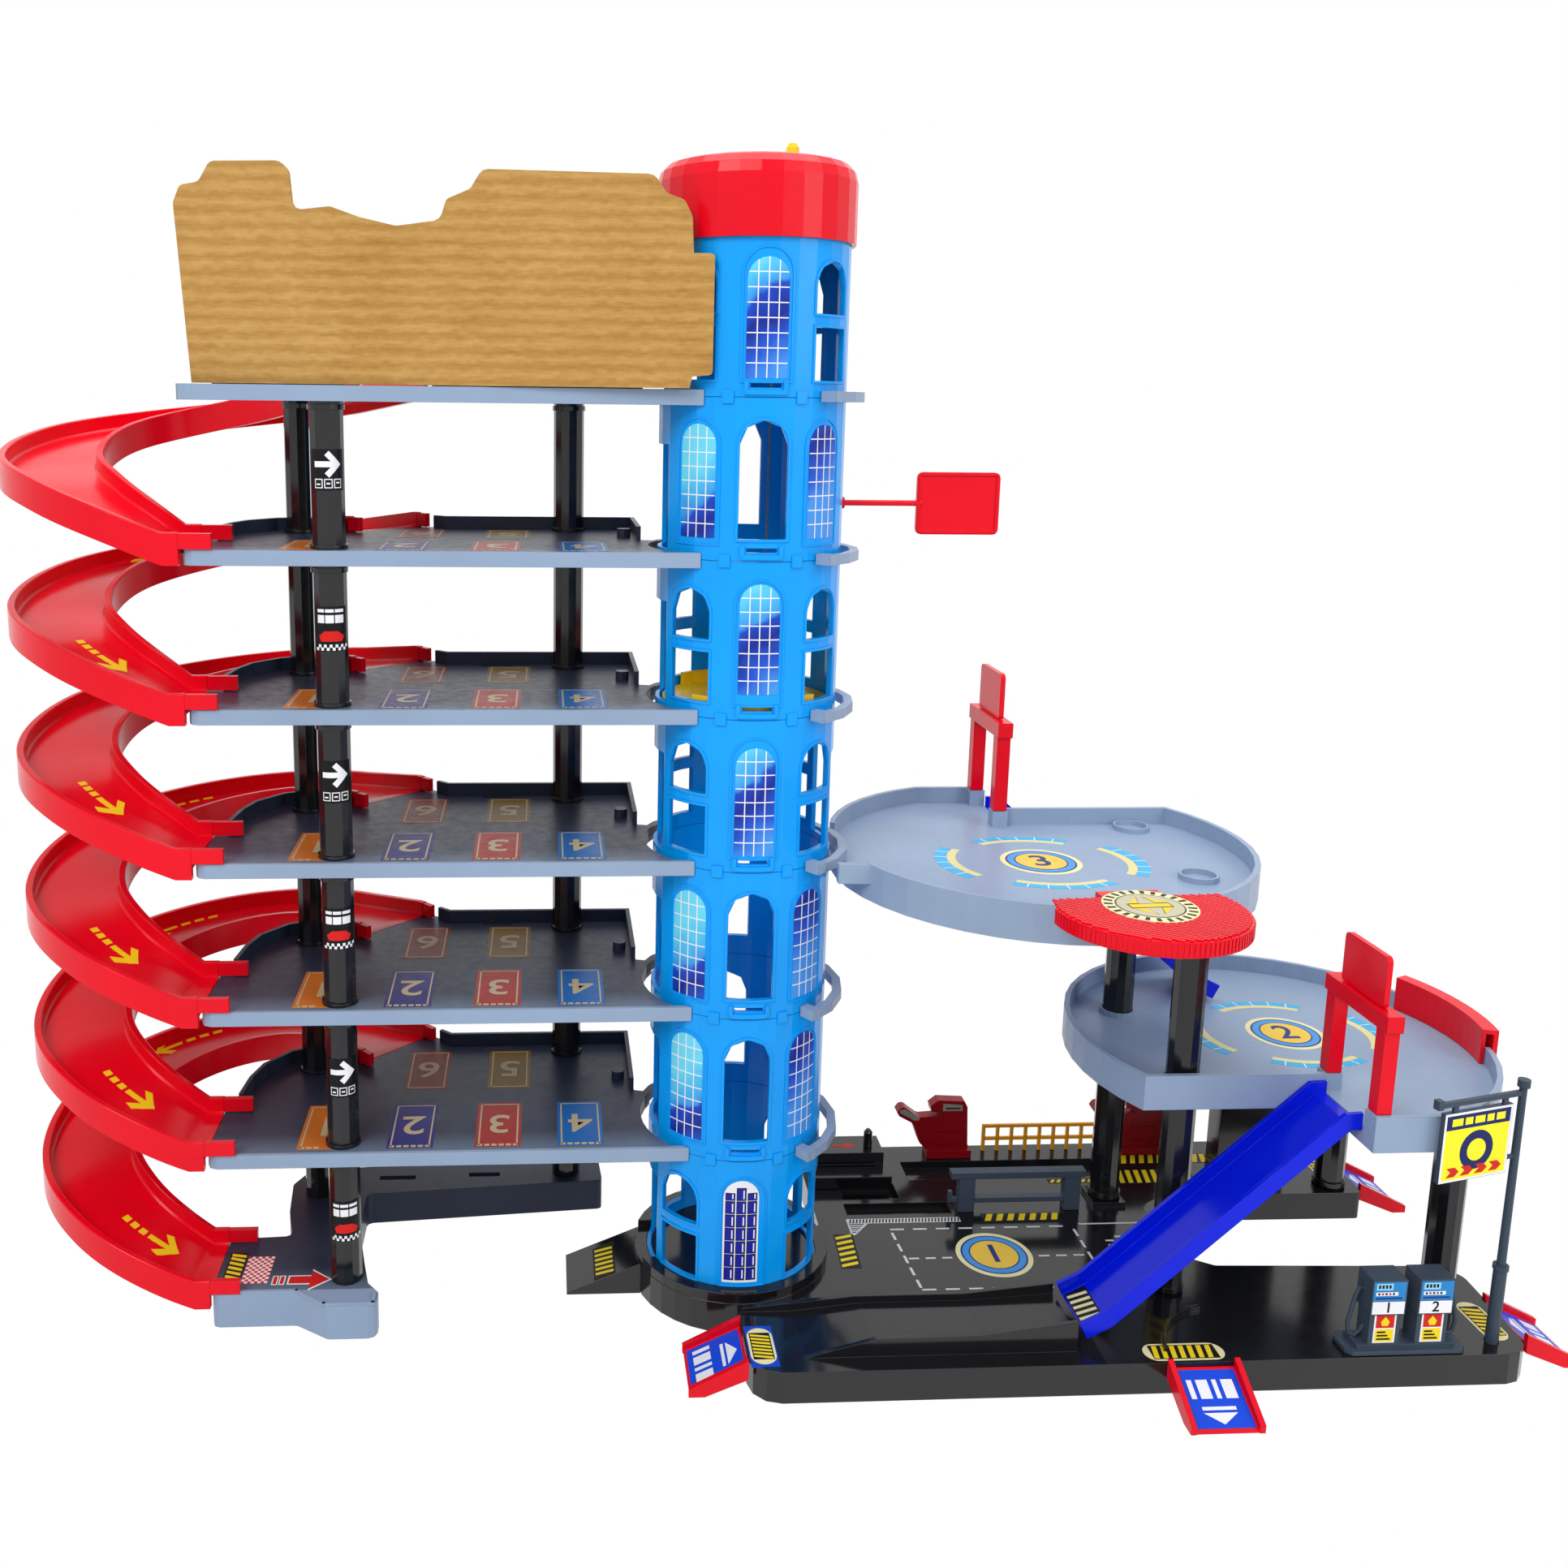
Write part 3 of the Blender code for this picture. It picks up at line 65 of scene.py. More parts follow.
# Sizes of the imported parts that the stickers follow, in millimetres
TOWER_R = 50
STORY = 83.5
DECK_1 = 103.6
SEAM_2 = 100
BASE_TOP = 18.0
LEFT_BASE_TOP = 20.1
FRONT_COLUMN = (-223.7, -26.5)
BACK_COLUMNS = ((-252.6, 65.2), (-97.2, 85.5))
TRAY_COLUMNS = (((244.5, 43.5), (24, 248)), ((244.5, -49.5), (21, 248)),
                ((395, -66), (21, 130)), ((399, 56), (21, 130)))

# Tops and undersides of thin plates, above the surface that they lie on, in millimetres
OVER = (0.16, -0.1)
TOPMOST = (0.2, -0.1)
# The same for plates that follow a bend, with the longest part that stays flat
SIGN_BOARD = (0.1, -0.6, 2.0)
ON_COLUMN = (0.18, -0.2, 2.0)
ON_RAMP = (0.25, -0.5, 3)
RAMP_BARB = (0.45, -0.5, 3)
TOWER_STEP = 2.7


def to_mesh(name, work):
    mesh = bpy.data.meshes.new(name)
    work.to_mesh(mesh)
    work.free()
    return mesh


def add_object(name, data):
    item = bpy.data.objects.new(name, data)
    bpy.context.scene.collection.objects.link(item)
    return item


def make_camera():
    ahead = Vector((math.sin(YAW) * math.cos(PITCH_DOWN), math.cos(YAW) * math.cos(PITCH_DOWN),
                    -math.sin(PITCH_DOWN)))
    sideways = Vector((math.cos(YAW), -math.sin(YAW), 0))
    down = ahead.cross(sideways)
    right = math.cos(ROLL) * sideways + math.sin(ROLL) * down
    below = -math.sin(ROLL) * sideways + math.cos(ROLL) * down
    data = bpy.data.cameras.new("camera")
    data.sensor_width = SENSOR
    data.lens = FOCAL_PX * SENSOR / FRAME_PX
    data.shift_x = (FRAME_PX / 2 - CENTRE_PX[0]) / FRAME_PX
    data.shift_y = (CENTRE_PX[1] - FRAME_PX / 2) / FRAME_PX
    data.clip_start = 0.01
    data.clip_end = 20
    camera = add_object("camera", data)
    turn = Matrix((right, -below, -ahead)).transposed().to_4x4()
    camera.matrix_world = Matrix.Translation(CAMERA_AT) @ turn
    bpy.context.scene.camera = camera


def area_light(name, place, aim, size, power):
    data = bpy.data.lights.new(name, "AREA")
    data.shape = "RECTANGLE"
    data.size, data.size_y = size
    data.energy = power
    lamp = add_object(name, data)
    lamp.location = place
    lamp.rotation_mode = "QUATERNION"
    lamp.rotation_quaternion = (Vector(aim) - Vector(place)).to_track_quat("-Z", "Y")


class Tree:
    """A node tree with one line per node. An input is named, or numbered as i0, i1 and so on."""

    def __init__(self, tree):
        self.tree = tree

    def add(self, kind, settings=(), **inputs):
        node = self.tree.nodes.new("ShaderNode" + kind)
        for key, value in dict(settings).items():
            setattr(node, key, value)
        for key, value in inputs.items():
            numbered = key[0] == "i" and key[1:].isdigit()
            socket = node.inputs[int(key[1:]) if numbered else key]
            if isinstance(value, bpy.types.NodeSocket):
                self.tree.links.new(value, socket)
            else:
                socket.default_value = value
        return node

    def math(self, operation, *values):
        inputs = {f"i{index}": value for index, value in enumerate(values)}
        return self.add("Math", {"operation": operation}, **inputs).outputs[0]

    def noise(self, place, scale, detail=2, roughness=0.5):
        node = self.add("TexNoise", Vector=place, Scale=scale, Detail=detail, Roughness=roughness)
        return node.outputs["Fac"]

    def surface(self, colour, shine, **inputs):
        inputs.update({"Base Color": colour, "Specular IOR Level": shine})
        self.add("OutputMaterial", Surface=self.add("BsdfPrincipled", **inputs).outputs[0])


def new_tree(name):
    material = bpy.data.materials.new(name)
    material.use_nodes = True
    material.node_tree.nodes.clear()
    return material, Tree(material.node_tree)


def white_where_seen(tree, lit, white):
    """white for camera, glossy and transmission rays, and lit for the rays that light the object"""
    path = tree.add("LightPath").outputs
    seen = tree.math("MAXIMUM", path["Is Camera Ray"], path["Is Glossy Ray"])
    seen = tree.math("MAXIMUM", seen, path["Is Transmission Ray"])
    return tree.add("MixShader", i0=seen, i1=lit.outputs[0], i2=white.outputs[0]).outputs[0]


def make_stage():
    world = bpy.data.worlds.new("world")
    bpy.context.scene.world = world
    world.use_nodes = True
    world.node_tree.nodes.clear()
    tree = Tree(world.node_tree)
    light = tree.add("Background", Color=SKY_COLOUR, Strength=SKY_STRENGTH)
    shown = tree.add("Background", Color=WHITE_LIGHT, Strength=1)
    tree.add("OutputWorld", Surface=white_where_seen(tree, light, shown))
    mesh = bpy.data.meshes.new("floor")
    corners = [(x * FLOOR_HALF, y * FLOOR_HALF, 0) for x, y in ((-1, -1), (1, -1), (1, 1), (-1, 1))]
    mesh.from_pydata(corners, [], [(0, 1, 2, 3)])
    floor = add_object("floor", mesh)
    floor.location.z = -FLOOR_DROP
    material, tree = new_tree("floor")
    diffuse = tree.add("BsdfDiffuse", Color=FLOOR_COLOUR)
    white = tree.add("Emission", Color=WHITE_LIGHT, Strength=1)
    tree.add("OutputMaterial", Surface=white_where_seen(tree, diffuse, white))
    mesh.materials.append(material)


def linear(colour):
    """Linear RGBA of a colour whose red, green and blue run from 0 to 255"""
    parts = [part / 255 for part in colour]
    return tuple(v / 12.92 if v <= 0.04045 else ((v + 0.055) / 1.055) ** 2.4 for v in parts) + (1,)


PAINTS = {}
# Radius in millimetres that the plastics' bevel shading rounds edges to
EDGE_R = 0.5


def smooth_step(tree, value, low, high):
    return tree.add("MapRange", {"interpolation_type": "SMOOTHSTEP"}, i0=value, i1=low, i2=high).outputs[0]


def deck_shade(tree):
    """Mask of painted shade, where the deck above darkens the parking floor: 1 on the parking floors behind
    their front edge, and 0 on the edge and round the tower
    """
    split = tree.add("SeparateXYZ", Vector=tree.add("TexCoord").outputs["Object"])
    behind = smooth_step(tree, split.outputs[1], -41 * MM, -14 * MM)
    just_behind = smooth_step(tree, split.outputs[1], -38.5 * MM, -37.5 * MM)
    left = smooth_step(tree, split.outputs[0], -36 * MM, -44 * MM)
    shade = tree.add("MapRange", i0=behind, i1=0, i2=1, i3=0.6, i4=1).outputs[0]
    return tree.math("MULTIPLY", tree.math("MULTIPLY", shade, just_behind), left)


def plastic(name, colour, roughness, cloud=0.06, grain=0.05, shine=0.22, painted_shade_colour=None):
    """Injection-moulded plastic: slight clouding, a fine moulded grain, worn gloss and softened edges.
    A given floor colour is painted shade: it darkens the parking floors behind their front edge, where the
    deck above shades them."""
    if name in PAINTS:
        return PAINTS[name]
    material, tree = new_tree(name)
    place = tree.add("TexCoord").outputs["Object"]
    clouds = tree.noise(place, 14, 3, 0.6)
    shade = tree.add("MapRange", i0=clouds, i1=0.3, i2=0.7, i3=1 - cloud, i4=1 + cloud).outputs[0]
    base = tree.add("RGB").outputs[0]
    base.default_value = linear(colour)
    # Painted shade mixed into the parking floors behind their front edge
    if painted_shade_colour:
        base = tree.add("Mix", {"data_type": "RGBA"}, Factor=deck_shade(tree), i6=base,
                        i7=linear(painted_shade_colour)).outputs[2]
    tint = tree.add("VectorMath", {"operation": "SCALE"}, i0=base, Scale=shade).outputs[0]
    scuffs = tree.noise(place, 160, 5, 0.65)
    rough = tree.add("MapRange", i0=scuffs, i1=0.35, i2=0.75, i3=roughness * 0.85,
                     i4=roughness * 1.3).outputs[0]
    normal = {}
    if grain:
        fine = tree.noise(place, 1400)
        rounded = tree.add("Bevel", {"samples": 4}, Radius=EDGE_R * MM)
        bump = tree.add("Bump", Strength=grain * 4, Distance=0.03 * MM, Height=fine,
                        Normal=rounded.outputs[0])
        normal["Normal"] = bump.outputs[0]
    tree.surface(tint, shine, Roughness=rough, **normal)
    PAINTS[name] = material
    return material


SLATE = (143, 162, 187)
# Painted shade: the colour the parking floors take behind their front edge, where the deck above shades them
PAINTED_FLOOR_SHADE = (46, 54, 74)
TOWER_BLUE = (2, 158, 244)
SLIDE_BLUE = (0, 26, 214)
RED = (230, 4, 30)
DEEP_RED = (150, 8, 22)
BLACK = (22, 22, 25)
DARK_SLATE = (58, 70, 84)
ORANGE = (238, 160, 25)
YELLOW = (250, 200, 20)


def wear(nodes, material):
    for name in nodes:
        slots = NODES[name].data.materials
        slots.clear()
        slots.append(material)


def cardboard():
    """Kraft board: faint flutes showing through a fibrous, blotchy liner"""
    material, tree = new_tree("cardboard")
    place = tree.add("TexCoord").outputs["Object"]
    flutes = tree.add("TexWave", {"wave_type": "BANDS", "bands_direction": "Z"}, Vector=place, Scale=42,
                      Distortion=2.5, Detail=3)
    flutes.inputs["Detail Scale"].default_value = 4
    fibre_place = tree.add("Mapping", Vector=place, Scale=(90, 90, 700)).outputs[0]
    fibre = tree.noise(fibre_place, 1, 6, 0.7)
    blotch = tree.noise(place, 16, 6, 0.65)
    value = 0.0
    for source, share in ((flutes.outputs["Fac"], 0.16), (fibre, 0.5), (blotch, 0.34)):
        value = tree.math("MULTIPLY_ADD", source, share, value)
    ramp = tree.add("ValToRGB", Fac=value)
    ramp.color_ramp.elements[0].position = 0.3
    ramp.color_ramp.elements[0].color = linear((160, 116, 56))
    ramp.color_ramp.elements[1].position = 0.7
    ramp.color_ramp.elements[1].color = linear((200, 158, 94))
    bump = tree.add("Bump", Strength=0.35, Distance=0.2 * MM, Height=value)
    tree.surface(ramp.outputs[0], 0.1, Roughness=0.92, Normal=bump.outputs[0])
    return material


def dress_nodes():
    numbers = range(1, 7)
    slate = plastic("slate_plastic", SLATE, 0.32)
    red = plastic("red_plastic", RED, 0.2, shine=0.2)
    black = plastic("black_plastic", BLACK, 0.13, grain=0.02, shine=0.5)
    wear(["tray_2", "tray_3"], slate)
    # The decks and the left base carry painted shade on their floors behind the front edge
    wear(["left_base"] + [f"deck_{k}" for k in numbers],
         plastic("deck_plastic_painted_shade", SLATE, 0.34, painted_shade_colour=PAINTED_FLOOR_SHADE))
    wear([f"ramp_{k}" for k in numbers], red)
    wear(["cap", "helipad", "guard", "gate_2", "gate_3", "sign_2", "sign_3", "exit_left", "exit_front",
          "exit_right", "exit_rear", "flag"], red)
    wear([f"tower_{k}" for k in range(1, 8)], plastic("blue_plastic", TOWER_BLUE, 0.22, shine=0.25))
    wear(["slide_front", "slide_rear"], plastic("deep_blue_plastic", SLIDE_BLUE, 0.2))
    wear(["column_front_left", "column_back_left", "column_back_right", "column_a", "column_b",
          "column_right_front", "column_right_rear", "rear_block", "platform", "platform_post", "right_base",
          "tower_slope"], black)
    wear(["fuel_station", "sign_post", "bench"], plastic("dark_slate_plastic", DARK_SLATE, 0.4))
    wear(["kiosk_1", "kiosk_2"], plastic("dark_red_plastic", DEEP_RED, 0.3))
    wear(["fence"], plastic("orange_plastic", ORANGE, 0.35))
    wear(["crank", "lift_car", "cord_bridge"], plastic("yellow_plastic", YELLOW, 0.3))
    wear(["lift_cord"], plastic("cord", (150, 150, 150), 0.7))
    wear(["backdrop"], cardboard())


INK_WHITE = (238, 238, 240)
INK_YELLOW = (246, 214, 30)
INK_CREAM = (236, 226, 170)
INK_NAVY = (22, 42, 120)
INK_BLACK = (20, 20, 22)
INK_RED = (214, 32, 28)
INK_SAND = (196, 178, 140)


def printed(colour):
    """Ink on a glossy sticker, a little uneven"""
    name = "ink_" + "_".join(str(part) for part in colour)
    return plastic(name, colour, 0.33, cloud=0.05, grain=0, shine=0.15)


@functools.cache
def window_print():
    """Sticker of glazing: sky blue at the top left, navy across the middle and lighter below"""
    material, tree = new_tree("window_print")
    place = tree.add("TexCoord").outputs["Object"]
    split = tree.add("SeparateXYZ", Vector=place)
    story = tree.math("SUBTRACT", split.outputs[2], (SEAM_2 - STORY) * MM)
    story = tree.math("FRACT", tree.math("DIVIDE", story, STORY * MM))
    slant = tree.math("MULTIPLY", split.outputs[0], -9.0)
    waver = tree.add("MapRange", i0=tree.noise(place, 70), i1=0.3, i2=0.7, i3=-0.05, i4=0.05)
    height = tree.math("ADD", tree.math("ADD", story, slant), waver.outputs[0])
    ramp = tree.add("ValToRGB", Fac=height)
    stops = ramp.color_ramp.elements
    stops[0].position, stops[0].color = 0.08, linear((70, 150, 232))
    stops[1].position, stops[1].color = 0.9, linear((110, 215, 240))
    for position, colour in ((0.3, (34, 84, 200)), (0.48, (22, 40, 140)), (0.6, (28, 70, 190)),
                             (0.64, (60, 150, 225)), (0.78, (80, 190, 235))):
        stop = stops.new(position)
        stop.color = linear(colour)
    tree.surface(ramp.outputs[0], 0.2, Roughness=0.25)
    return material


def flat(origin, across=(1, 0, 0), up=(0, 1, 0)):
    """Places millimetres on a plane: along across, along up, and height above the plane"""
    across = Vector(across).normalized()
    up = Vector(up).normalized()
    rise = across.cross(up)
    return lambda x, y, h: (Vector(origin) + across * x + up * y + rise * h) * MM


def heading(degrees):
    """Level direction at an angle from the right"""
    turn = math.radians(degrees)
    return Vector((math.cos(turn), math.sin(turn), 0))


def front(origin):
    return flat(origin, (1, 0, 0), (0, 0, 1))


def round_wall(centre, radius, angle, bottom):
    """Places millimetres round an upright cylinder, at an angle from the front"""
    def place(x, y, h):
        turn = math.radians(angle) + x / radius
        reach = radius + h
        return Vector((centre[0] + reach * math.sin(turn), centre[1] - reach * math.cos(turn),
                       bottom + y)) * MM
    return place


def rect(x0, y0, x1, y1):
    return [(x0, y0), (x1, y0), (x1, y1), (x0, y1)]


def slanted(x0, y0, x1, y1, lean):
    return [(x0, y0), (x1, y0), (x1 + lean, y1), (x0 + lean, y1)]


def ring(x, y, radius, count):
    turns = [2 * math.pi * index / count for index in range(count)]
    return [(x + radius * math.cos(turn), y + radius * math.sin(turn)) for turn in turns]


def arch(half, low, high, steps=10, middle=0.0):
    head = [math.pi * index / steps for index in range(steps + 1)]
    top = [(middle + half * math.cos(turn), high - half + half * math.sin(turn)) for turn in head]
    return [(middle - half, low), (middle + half, low)] + top


def sector(inner, outer, first, last, steps=12, tall=1.0):
    """Outline of part of a ring, in degrees, as two lines to be joined by a band"""
    turns = [math.radians(first + (last - first) * index / steps) for index in range(steps + 1)]
    return [[(r * math.cos(turn), r * tall * math.sin(turn)) for turn in turns] for r in (outer, inner)]


def soften(mesh):
    mesh.shade_smooth()
    mesh.set_sharp_from_angle(angle=math.radians(35))


def skin(work, rows):
    """Faces between rings of vertices that follow each other"""
    count = len(rows[0])
    for before, after in zip(rows, rows[1:]):
        for index in range(count):
            other = (index + 1) % count
            work.faces.new((before[index], before[other], after[other], after[index]))


class Plates:
    """Thin closed plates, printed or moulded, gathered into one piece"""

    def __init__(self, name):
        self.name = name
        self.work = bmesh.new()
        self.paints = []

    def merge(self, part, paint, place, step):
        if step:
            low = min(vertex.co.x for vertex in part.verts)
            high = max(vertex.co.x for vertex in part.verts)
            cuts = math.ceil((high - low) / step)
            for index in range(1, cuts):
                everything = part.verts[:] + part.edges[:] + part.faces[:]
                point = (low + (high - low) * index / cuts, 0, 0)
                bmesh.ops.bisect_plane(part, geom=everything, plane_co=point, plane_no=(1, 0, 0))
        for vertex in part.verts:
            vertex.co = place(*vertex.co)
        bmesh.ops.recalc_face_normals(part, faces=part.faces[:])
        if paint not in self.paints:
            self.paints.append(paint)
        for face in part.faces:
            face.material_index = self.paints.index(paint)
        mesh = to_mesh("plate", part)
        self.work.from_mesh(mesh)
        bpy.data.meshes.remove(mesh)

    def shape(self, outline, paint, place, high=0.1, low=-0.3, step=None):
        part = bmesh.new()
        upper = [part.verts.new((x, y, high)) for x, y in outline]
        lower = [part.verts.new((x, y, low)) for x, y in outline]
        part.faces.new(upper)
        part.faces.new(lower[::-1])
        for index in range(len(outline)):
            after = (index + 1) % len(outline)
            part.faces.new((upper[index], lower[index], lower[after], upper[after]))
        self.merge(part, paint, place, step)

    def bar(self, x0, y0, x1, y1, paint, place, *layer):
        self.shape(rect(x0, y0, x1, y1), paint, place, *layer)

    def band(self, outer, inner, paint, place, high=0.1, low=-0.3, step=None, closed=True):
        """The strip between two lines of as many points"""
        part = bmesh.new()
        rows = [[part.verts.new((x, y, h)) for x, y in line]
                for line, h in ((outer, high), (inner, high), (inner, low), (outer, low))]
        count = len(outer)
        for index in range(count if closed else count - 1):
            after = (index + 1) % count
            for side in range(4):
                here, there = rows[side], rows[(side + 1) % 4]
                part.faces.new((here[index], here[after], there[after], there[index]))
        if not closed:
            part.faces.new([row[0] for row in rows])
            part.faces.new([row[-1] for row in rows][::-1])
        self.merge(part, paint, place, step)

    def digit(self, text, size, paint, place, high=0.2, low=-0.2):
        """A plain figure, centred on the place's origin"""
        data = bpy.data.curves.new("digit", "FONT")
        data.body = text
        data.size = size
        data.align_x = "CENTER"
        data.align_y = "CENTER"
        data.extrude = 0.5
        data.offset = size * 0.012
        data.resolution_u = 4
        item = bpy.data.objects.new("digit", data)
        mesh = bpy.data.meshes.new_from_object(item)
        part = bmesh.new()
        part.from_mesh(mesh)
        bpy.data.objects.remove(item)
        bpy.data.meshes.remove(mesh)
        bmesh.ops.remove_doubles(part, verts=part.verts[:], dist=0.001)
        for vertex in part.verts:
            vertex.co.z = high if vertex.co.z > 0 else low
        self.merge(part, paint, place, None)

    def finish(self, body="garage", smooth=False):
        mesh = to_mesh(self.name, self.work)
        if smooth:
            soften(mesh)
        for paint in self.paints:
            mesh.materials.append(paint)
        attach(add_object(self.name, mesh), body)


def level(deck):
    return DECK_1 + STORY * (deck - 1)


def seam(section):
    return SEAM_2 + STORY * (section - 2)


def on_tower(angle, bottom):
    return round_wall((0, 0), TOWER_R, angle, bottom)


# Low and high ends of the printed panes of each tower section
PANES = {2: (10, 71), 3: (9.7, 70), 4: (9.5, 68.7), 5: (13.9, 72), 6: (11.6, 70), 7: (9.5, 69)}
PANE_HALF = 10.7
PANE_ROWS = 8
BAR_HALF = 0.28
OPENING_HALF = 12.6
RIM_WIDE = 1.4


def glazing(plates, angle, bottom, low, high):
    """A printed pane with white bars"""
    place = on_tower(angle, bottom)
    half = PANE_HALF
    white = printed(INK_WHITE)
    plates.shape(arch(half, low, high), window_print(), place, 0.12, -0.5, TOWER_STEP)
    centre = high - half
    for x in (-half / 2, 0, half / 2):
        top = centre + math.sqrt(half ** 2 - x ** 2)
        plates.bar(x - BAR_HALF, low, x + BAR_HALF, top - 0.2, white, place, *TOPMOST)
    for index in range(1, PANE_ROWS):
        y = low + (high - low) * index / PANE_ROWS
        reach = half if y < centre else math.sqrt(max(half ** 2 - (y - centre) ** 2, 1))
        plates.bar(0.2 - reach, y - BAR_HALF, reach - 0.2, y + BAR_HALF, white, place, 0.22, -0.1,
                   TOWER_STEP)


def window_rim(plates, angle, bottom, low, high, paint, outline):
    outer = outline(OPENING_HALF + RIM_WIDE, low - RIM_WIDE, high + RIM_WIDE)
    inner = outline(OPENING_HALF, low, high)
    plates.band(outer, inner, paint, on_tower(angle, bottom), 0.55, -0.6, TOWER_STEP)


def arched(half, low, high):
    return arch(half, low, high, 12)


def square(half, low, high):
    return rect(-half, low, half, high)


def dress_tower():
    rims = Plates("tower_mouldings")
    stickers = Plates("tower_stickers")
    blue = PAINTS["blue_plastic"]
    white = printed(INK_WHITE)
    for section in range(1, 8):
        bottom = seam(section)
        pairs = section in (1, 4, 5, 7)
        for angle in ((45, -45, 135, -135) if pairs else (0, 180)):
            if pairs:
                window_rim(rims, angle, bottom, 42, 68.3, blue, arched)
                window_rim(rims, angle, bottom, 8.6, 35.2, blue, square)
            else:
                window_rim(rims, angle, bottom, 11.6, 72, blue, arched)
        for angle in ((0, 180) if pairs else (41, -41, 139, -139)):
            low, high = (8.0, 73.4) if pairs else (8.4, 72.4)
            rims.band(arched(13.4, low - 0.9, high + 0.9), arched(12.4, low, high), blue,
                      on_tower(angle, bottom), 0.4, -0.6, TOWER_STEP)
            if angle in (0, 41, -41) and section > 1:
                glazing(stickers, angle, bottom, *PANES[section])
        if section > 1:
            place = on_tower(0, bottom)
            rims.bar(-10, 1.2, 10, 3.6, blue, place, 1.3, -0.6, TOWER_STEP)
            for side in (-1, 1):
                rims.bar(side * 10 - 1.1, 1.2, side * 10 + 1.1, 8.2, blue, place, 1.0, -0.6)
    place = on_tower(0, seam(1))
    stickers.shape(arch(10, 10, 72, middle=-1.4), white, place, 0.12, -0.5, TOWER_STEP)
    navy = printed((30, 36, 150))
    ink = printed(INK_BLACK)
    for column in range(3):
        x = -7.6 + column * 6.2
        for row in range(7):
            y = 15.4 + row * 8.1
            top = 4.0 if row == 6 and column != 1 else 7.2
            low = y - 3.9
            stickers.bar(x - 2.75, low, x + 2.75, low + top + 0.6, ink, place, *TOPMOST, 2.8)
            low = y - 3.5
            stickers.bar(x - 2.35, low, x + 2.35, low + top - 0.2, navy, place, 0.28, -0.1, 2.4)
            low = y - 2.7
            stickers.bar(x + 1.0, low, x + 1.7, low + top * 0.72, white, place, 0.36, -0.1)
    seams = Plates("tower_seams")
    for section in range(2, 8):
        for side in (-1, 1):
            place = on_tower(side * 22, seam(section))
            seams.bar(-3, -3.2, 3, 3.2, blue, place, 0.9, -0.6, 2.8)
    rims.finish(smooth=True)
    stickers.finish()
    seams.finish(smooth=True)


# Number, place and colour of each parking bay
BAYS = (
    ("1", -236, -35, (206, 112, 36)), ("2", -186.3, -35, (46, 44, 118)), ("3", -137.3, -35, (170, 40, 40)),
    ("4", -90.7, -35, (28, 104, 178)), ("5", -132.9, 35, (134, 98, 26)), ("6", -183, 35, (130, 50, 34)))
BAY_HALF = 12.9
BAY_LONG = 51
BAY_LINE = 0.9
BAY_MARGIN = 2.2
ON_BAY = (0.13, -0.1)


def dress_decks():
    """Numbered parking bays. The first one is cut out round the front column."""
    line = printed(INK_SAND)
    half, inner = BAY_HALF, BAY_HALF - BAY_MARGIN
    for deck in range(1, 6):
        bays = Plates(f"deck_{deck}_stickers")
        for number, x, y, colour in BAYS:
            place = flat((x, y, level(deck)))
            notched = number == "1"
            outline = rect(-half, 0, half, BAY_LONG)
            if notched:
                turns = [math.radians(240 - 147 * index / 10) for index in range(11)]
                notch = [(12.3 + 9.9 * math.cos(turn), 8.5 + 9.9 * math.sin(turn)) for turn in turns]
                outline = [(-half, BAY_LONG), (-half, 0)] + notch + [(half, 18.4), (half, BAY_LONG)]
            bays.shape(outline, printed(colour), place, 0.08)
            far = BAY_LONG - 1.6
            for side in (-1, 1):
                low = 19.5 if notched and side == 1 else 1.6
                bays.bar(side * inner - BAY_LINE / 2, low, side * inner + BAY_LINE / 2, far,
                         line, place, *ON_BAY)
            bays.bar(-inner, far - BAY_LINE, inner, far, line, place, *ON_BAY)
            if y > 0:
                bays.bar(-inner, 1.6, inner, 1.6 + BAY_LINE, line, place, *ON_BAY)
            else:
                for index in range(3 if notched else 6):
                    left = 1.4 - half + index * 4.0
                    bays.bar(left, 0.9, left + 2.9, 3.1, line, place, *ON_BAY)
            spin = flat((x, y + 27, level(deck)), (-1, 0, 0), (0, -1, 0))
            bays.digit(number, 29, line, spin, 0.16)
        bays.finish()


RAMP_CENTRE = (-306, 70)
RAMP_MID_R = 84.5
RAMP_RUN = 56.1
RAMP_BEND_FROM = 45
RAMP_BEND_TO = 270
# The bend's height in millimetres at angles in degrees
RAMP_FALL = (
    (45, 76), (90, 66), (119, 59.5), (139, 55), (154, 51), (170, 45.5), (190, 38.5),
    (210, 33), (225, 28), (240, 20), (252, 13), (262, 6), (270, 0))
# A ramp's cross-section: half its width, half its floor's, its walls' top and foot, its floor's underside
RAMP_HALF = 27.5
RAMP_FLOOR_HALF = 23.5
RAMP_WALL_TOP = 9.0
RAMP_WALL_FOOT = -8.0
RAMP_UNDER = -2.5
RAMP_FILLET = 1.2
RAMP_LIP = 0.5
EAR_HALF = 1.7
ON_EAR = (8.6, 0.6)


def ramp_height(angle):
    for (first, high), (last, low) in zip(RAMP_FALL, RAMP_FALL[1:]):
        if angle <= last:
            return high + (low - high) * (angle - first) / (last - first)
    return 0.0


def easy_height(angle):
    """The ramp's height with the corners of its table rounded off"""
    spread = min(5.0, angle - RAMP_BEND_FROM, RAMP_BEND_TO - angle)
    steps = (-1, -0.5, 0, 0.5, 1)
    return sum(ramp_height(angle + spread * step) for step in steps) / len(steps)


def on_ramp(deck, radius, angle):
    """Places millimetres on a ramp: along it downhill, outwards, and above its floor"""
    def place(x, y, h):
        turn = angle + math.degrees(x / radius)
        reach = radius + y
        turned = math.radians(turn)
        return Vector((RAMP_CENTRE[0] + reach * math.cos(turned),
                       RAMP_CENTRE[1] + reach * math.sin(turned),
                       level(deck - 1) + easy_height(turn) + h)) * MM
    return place


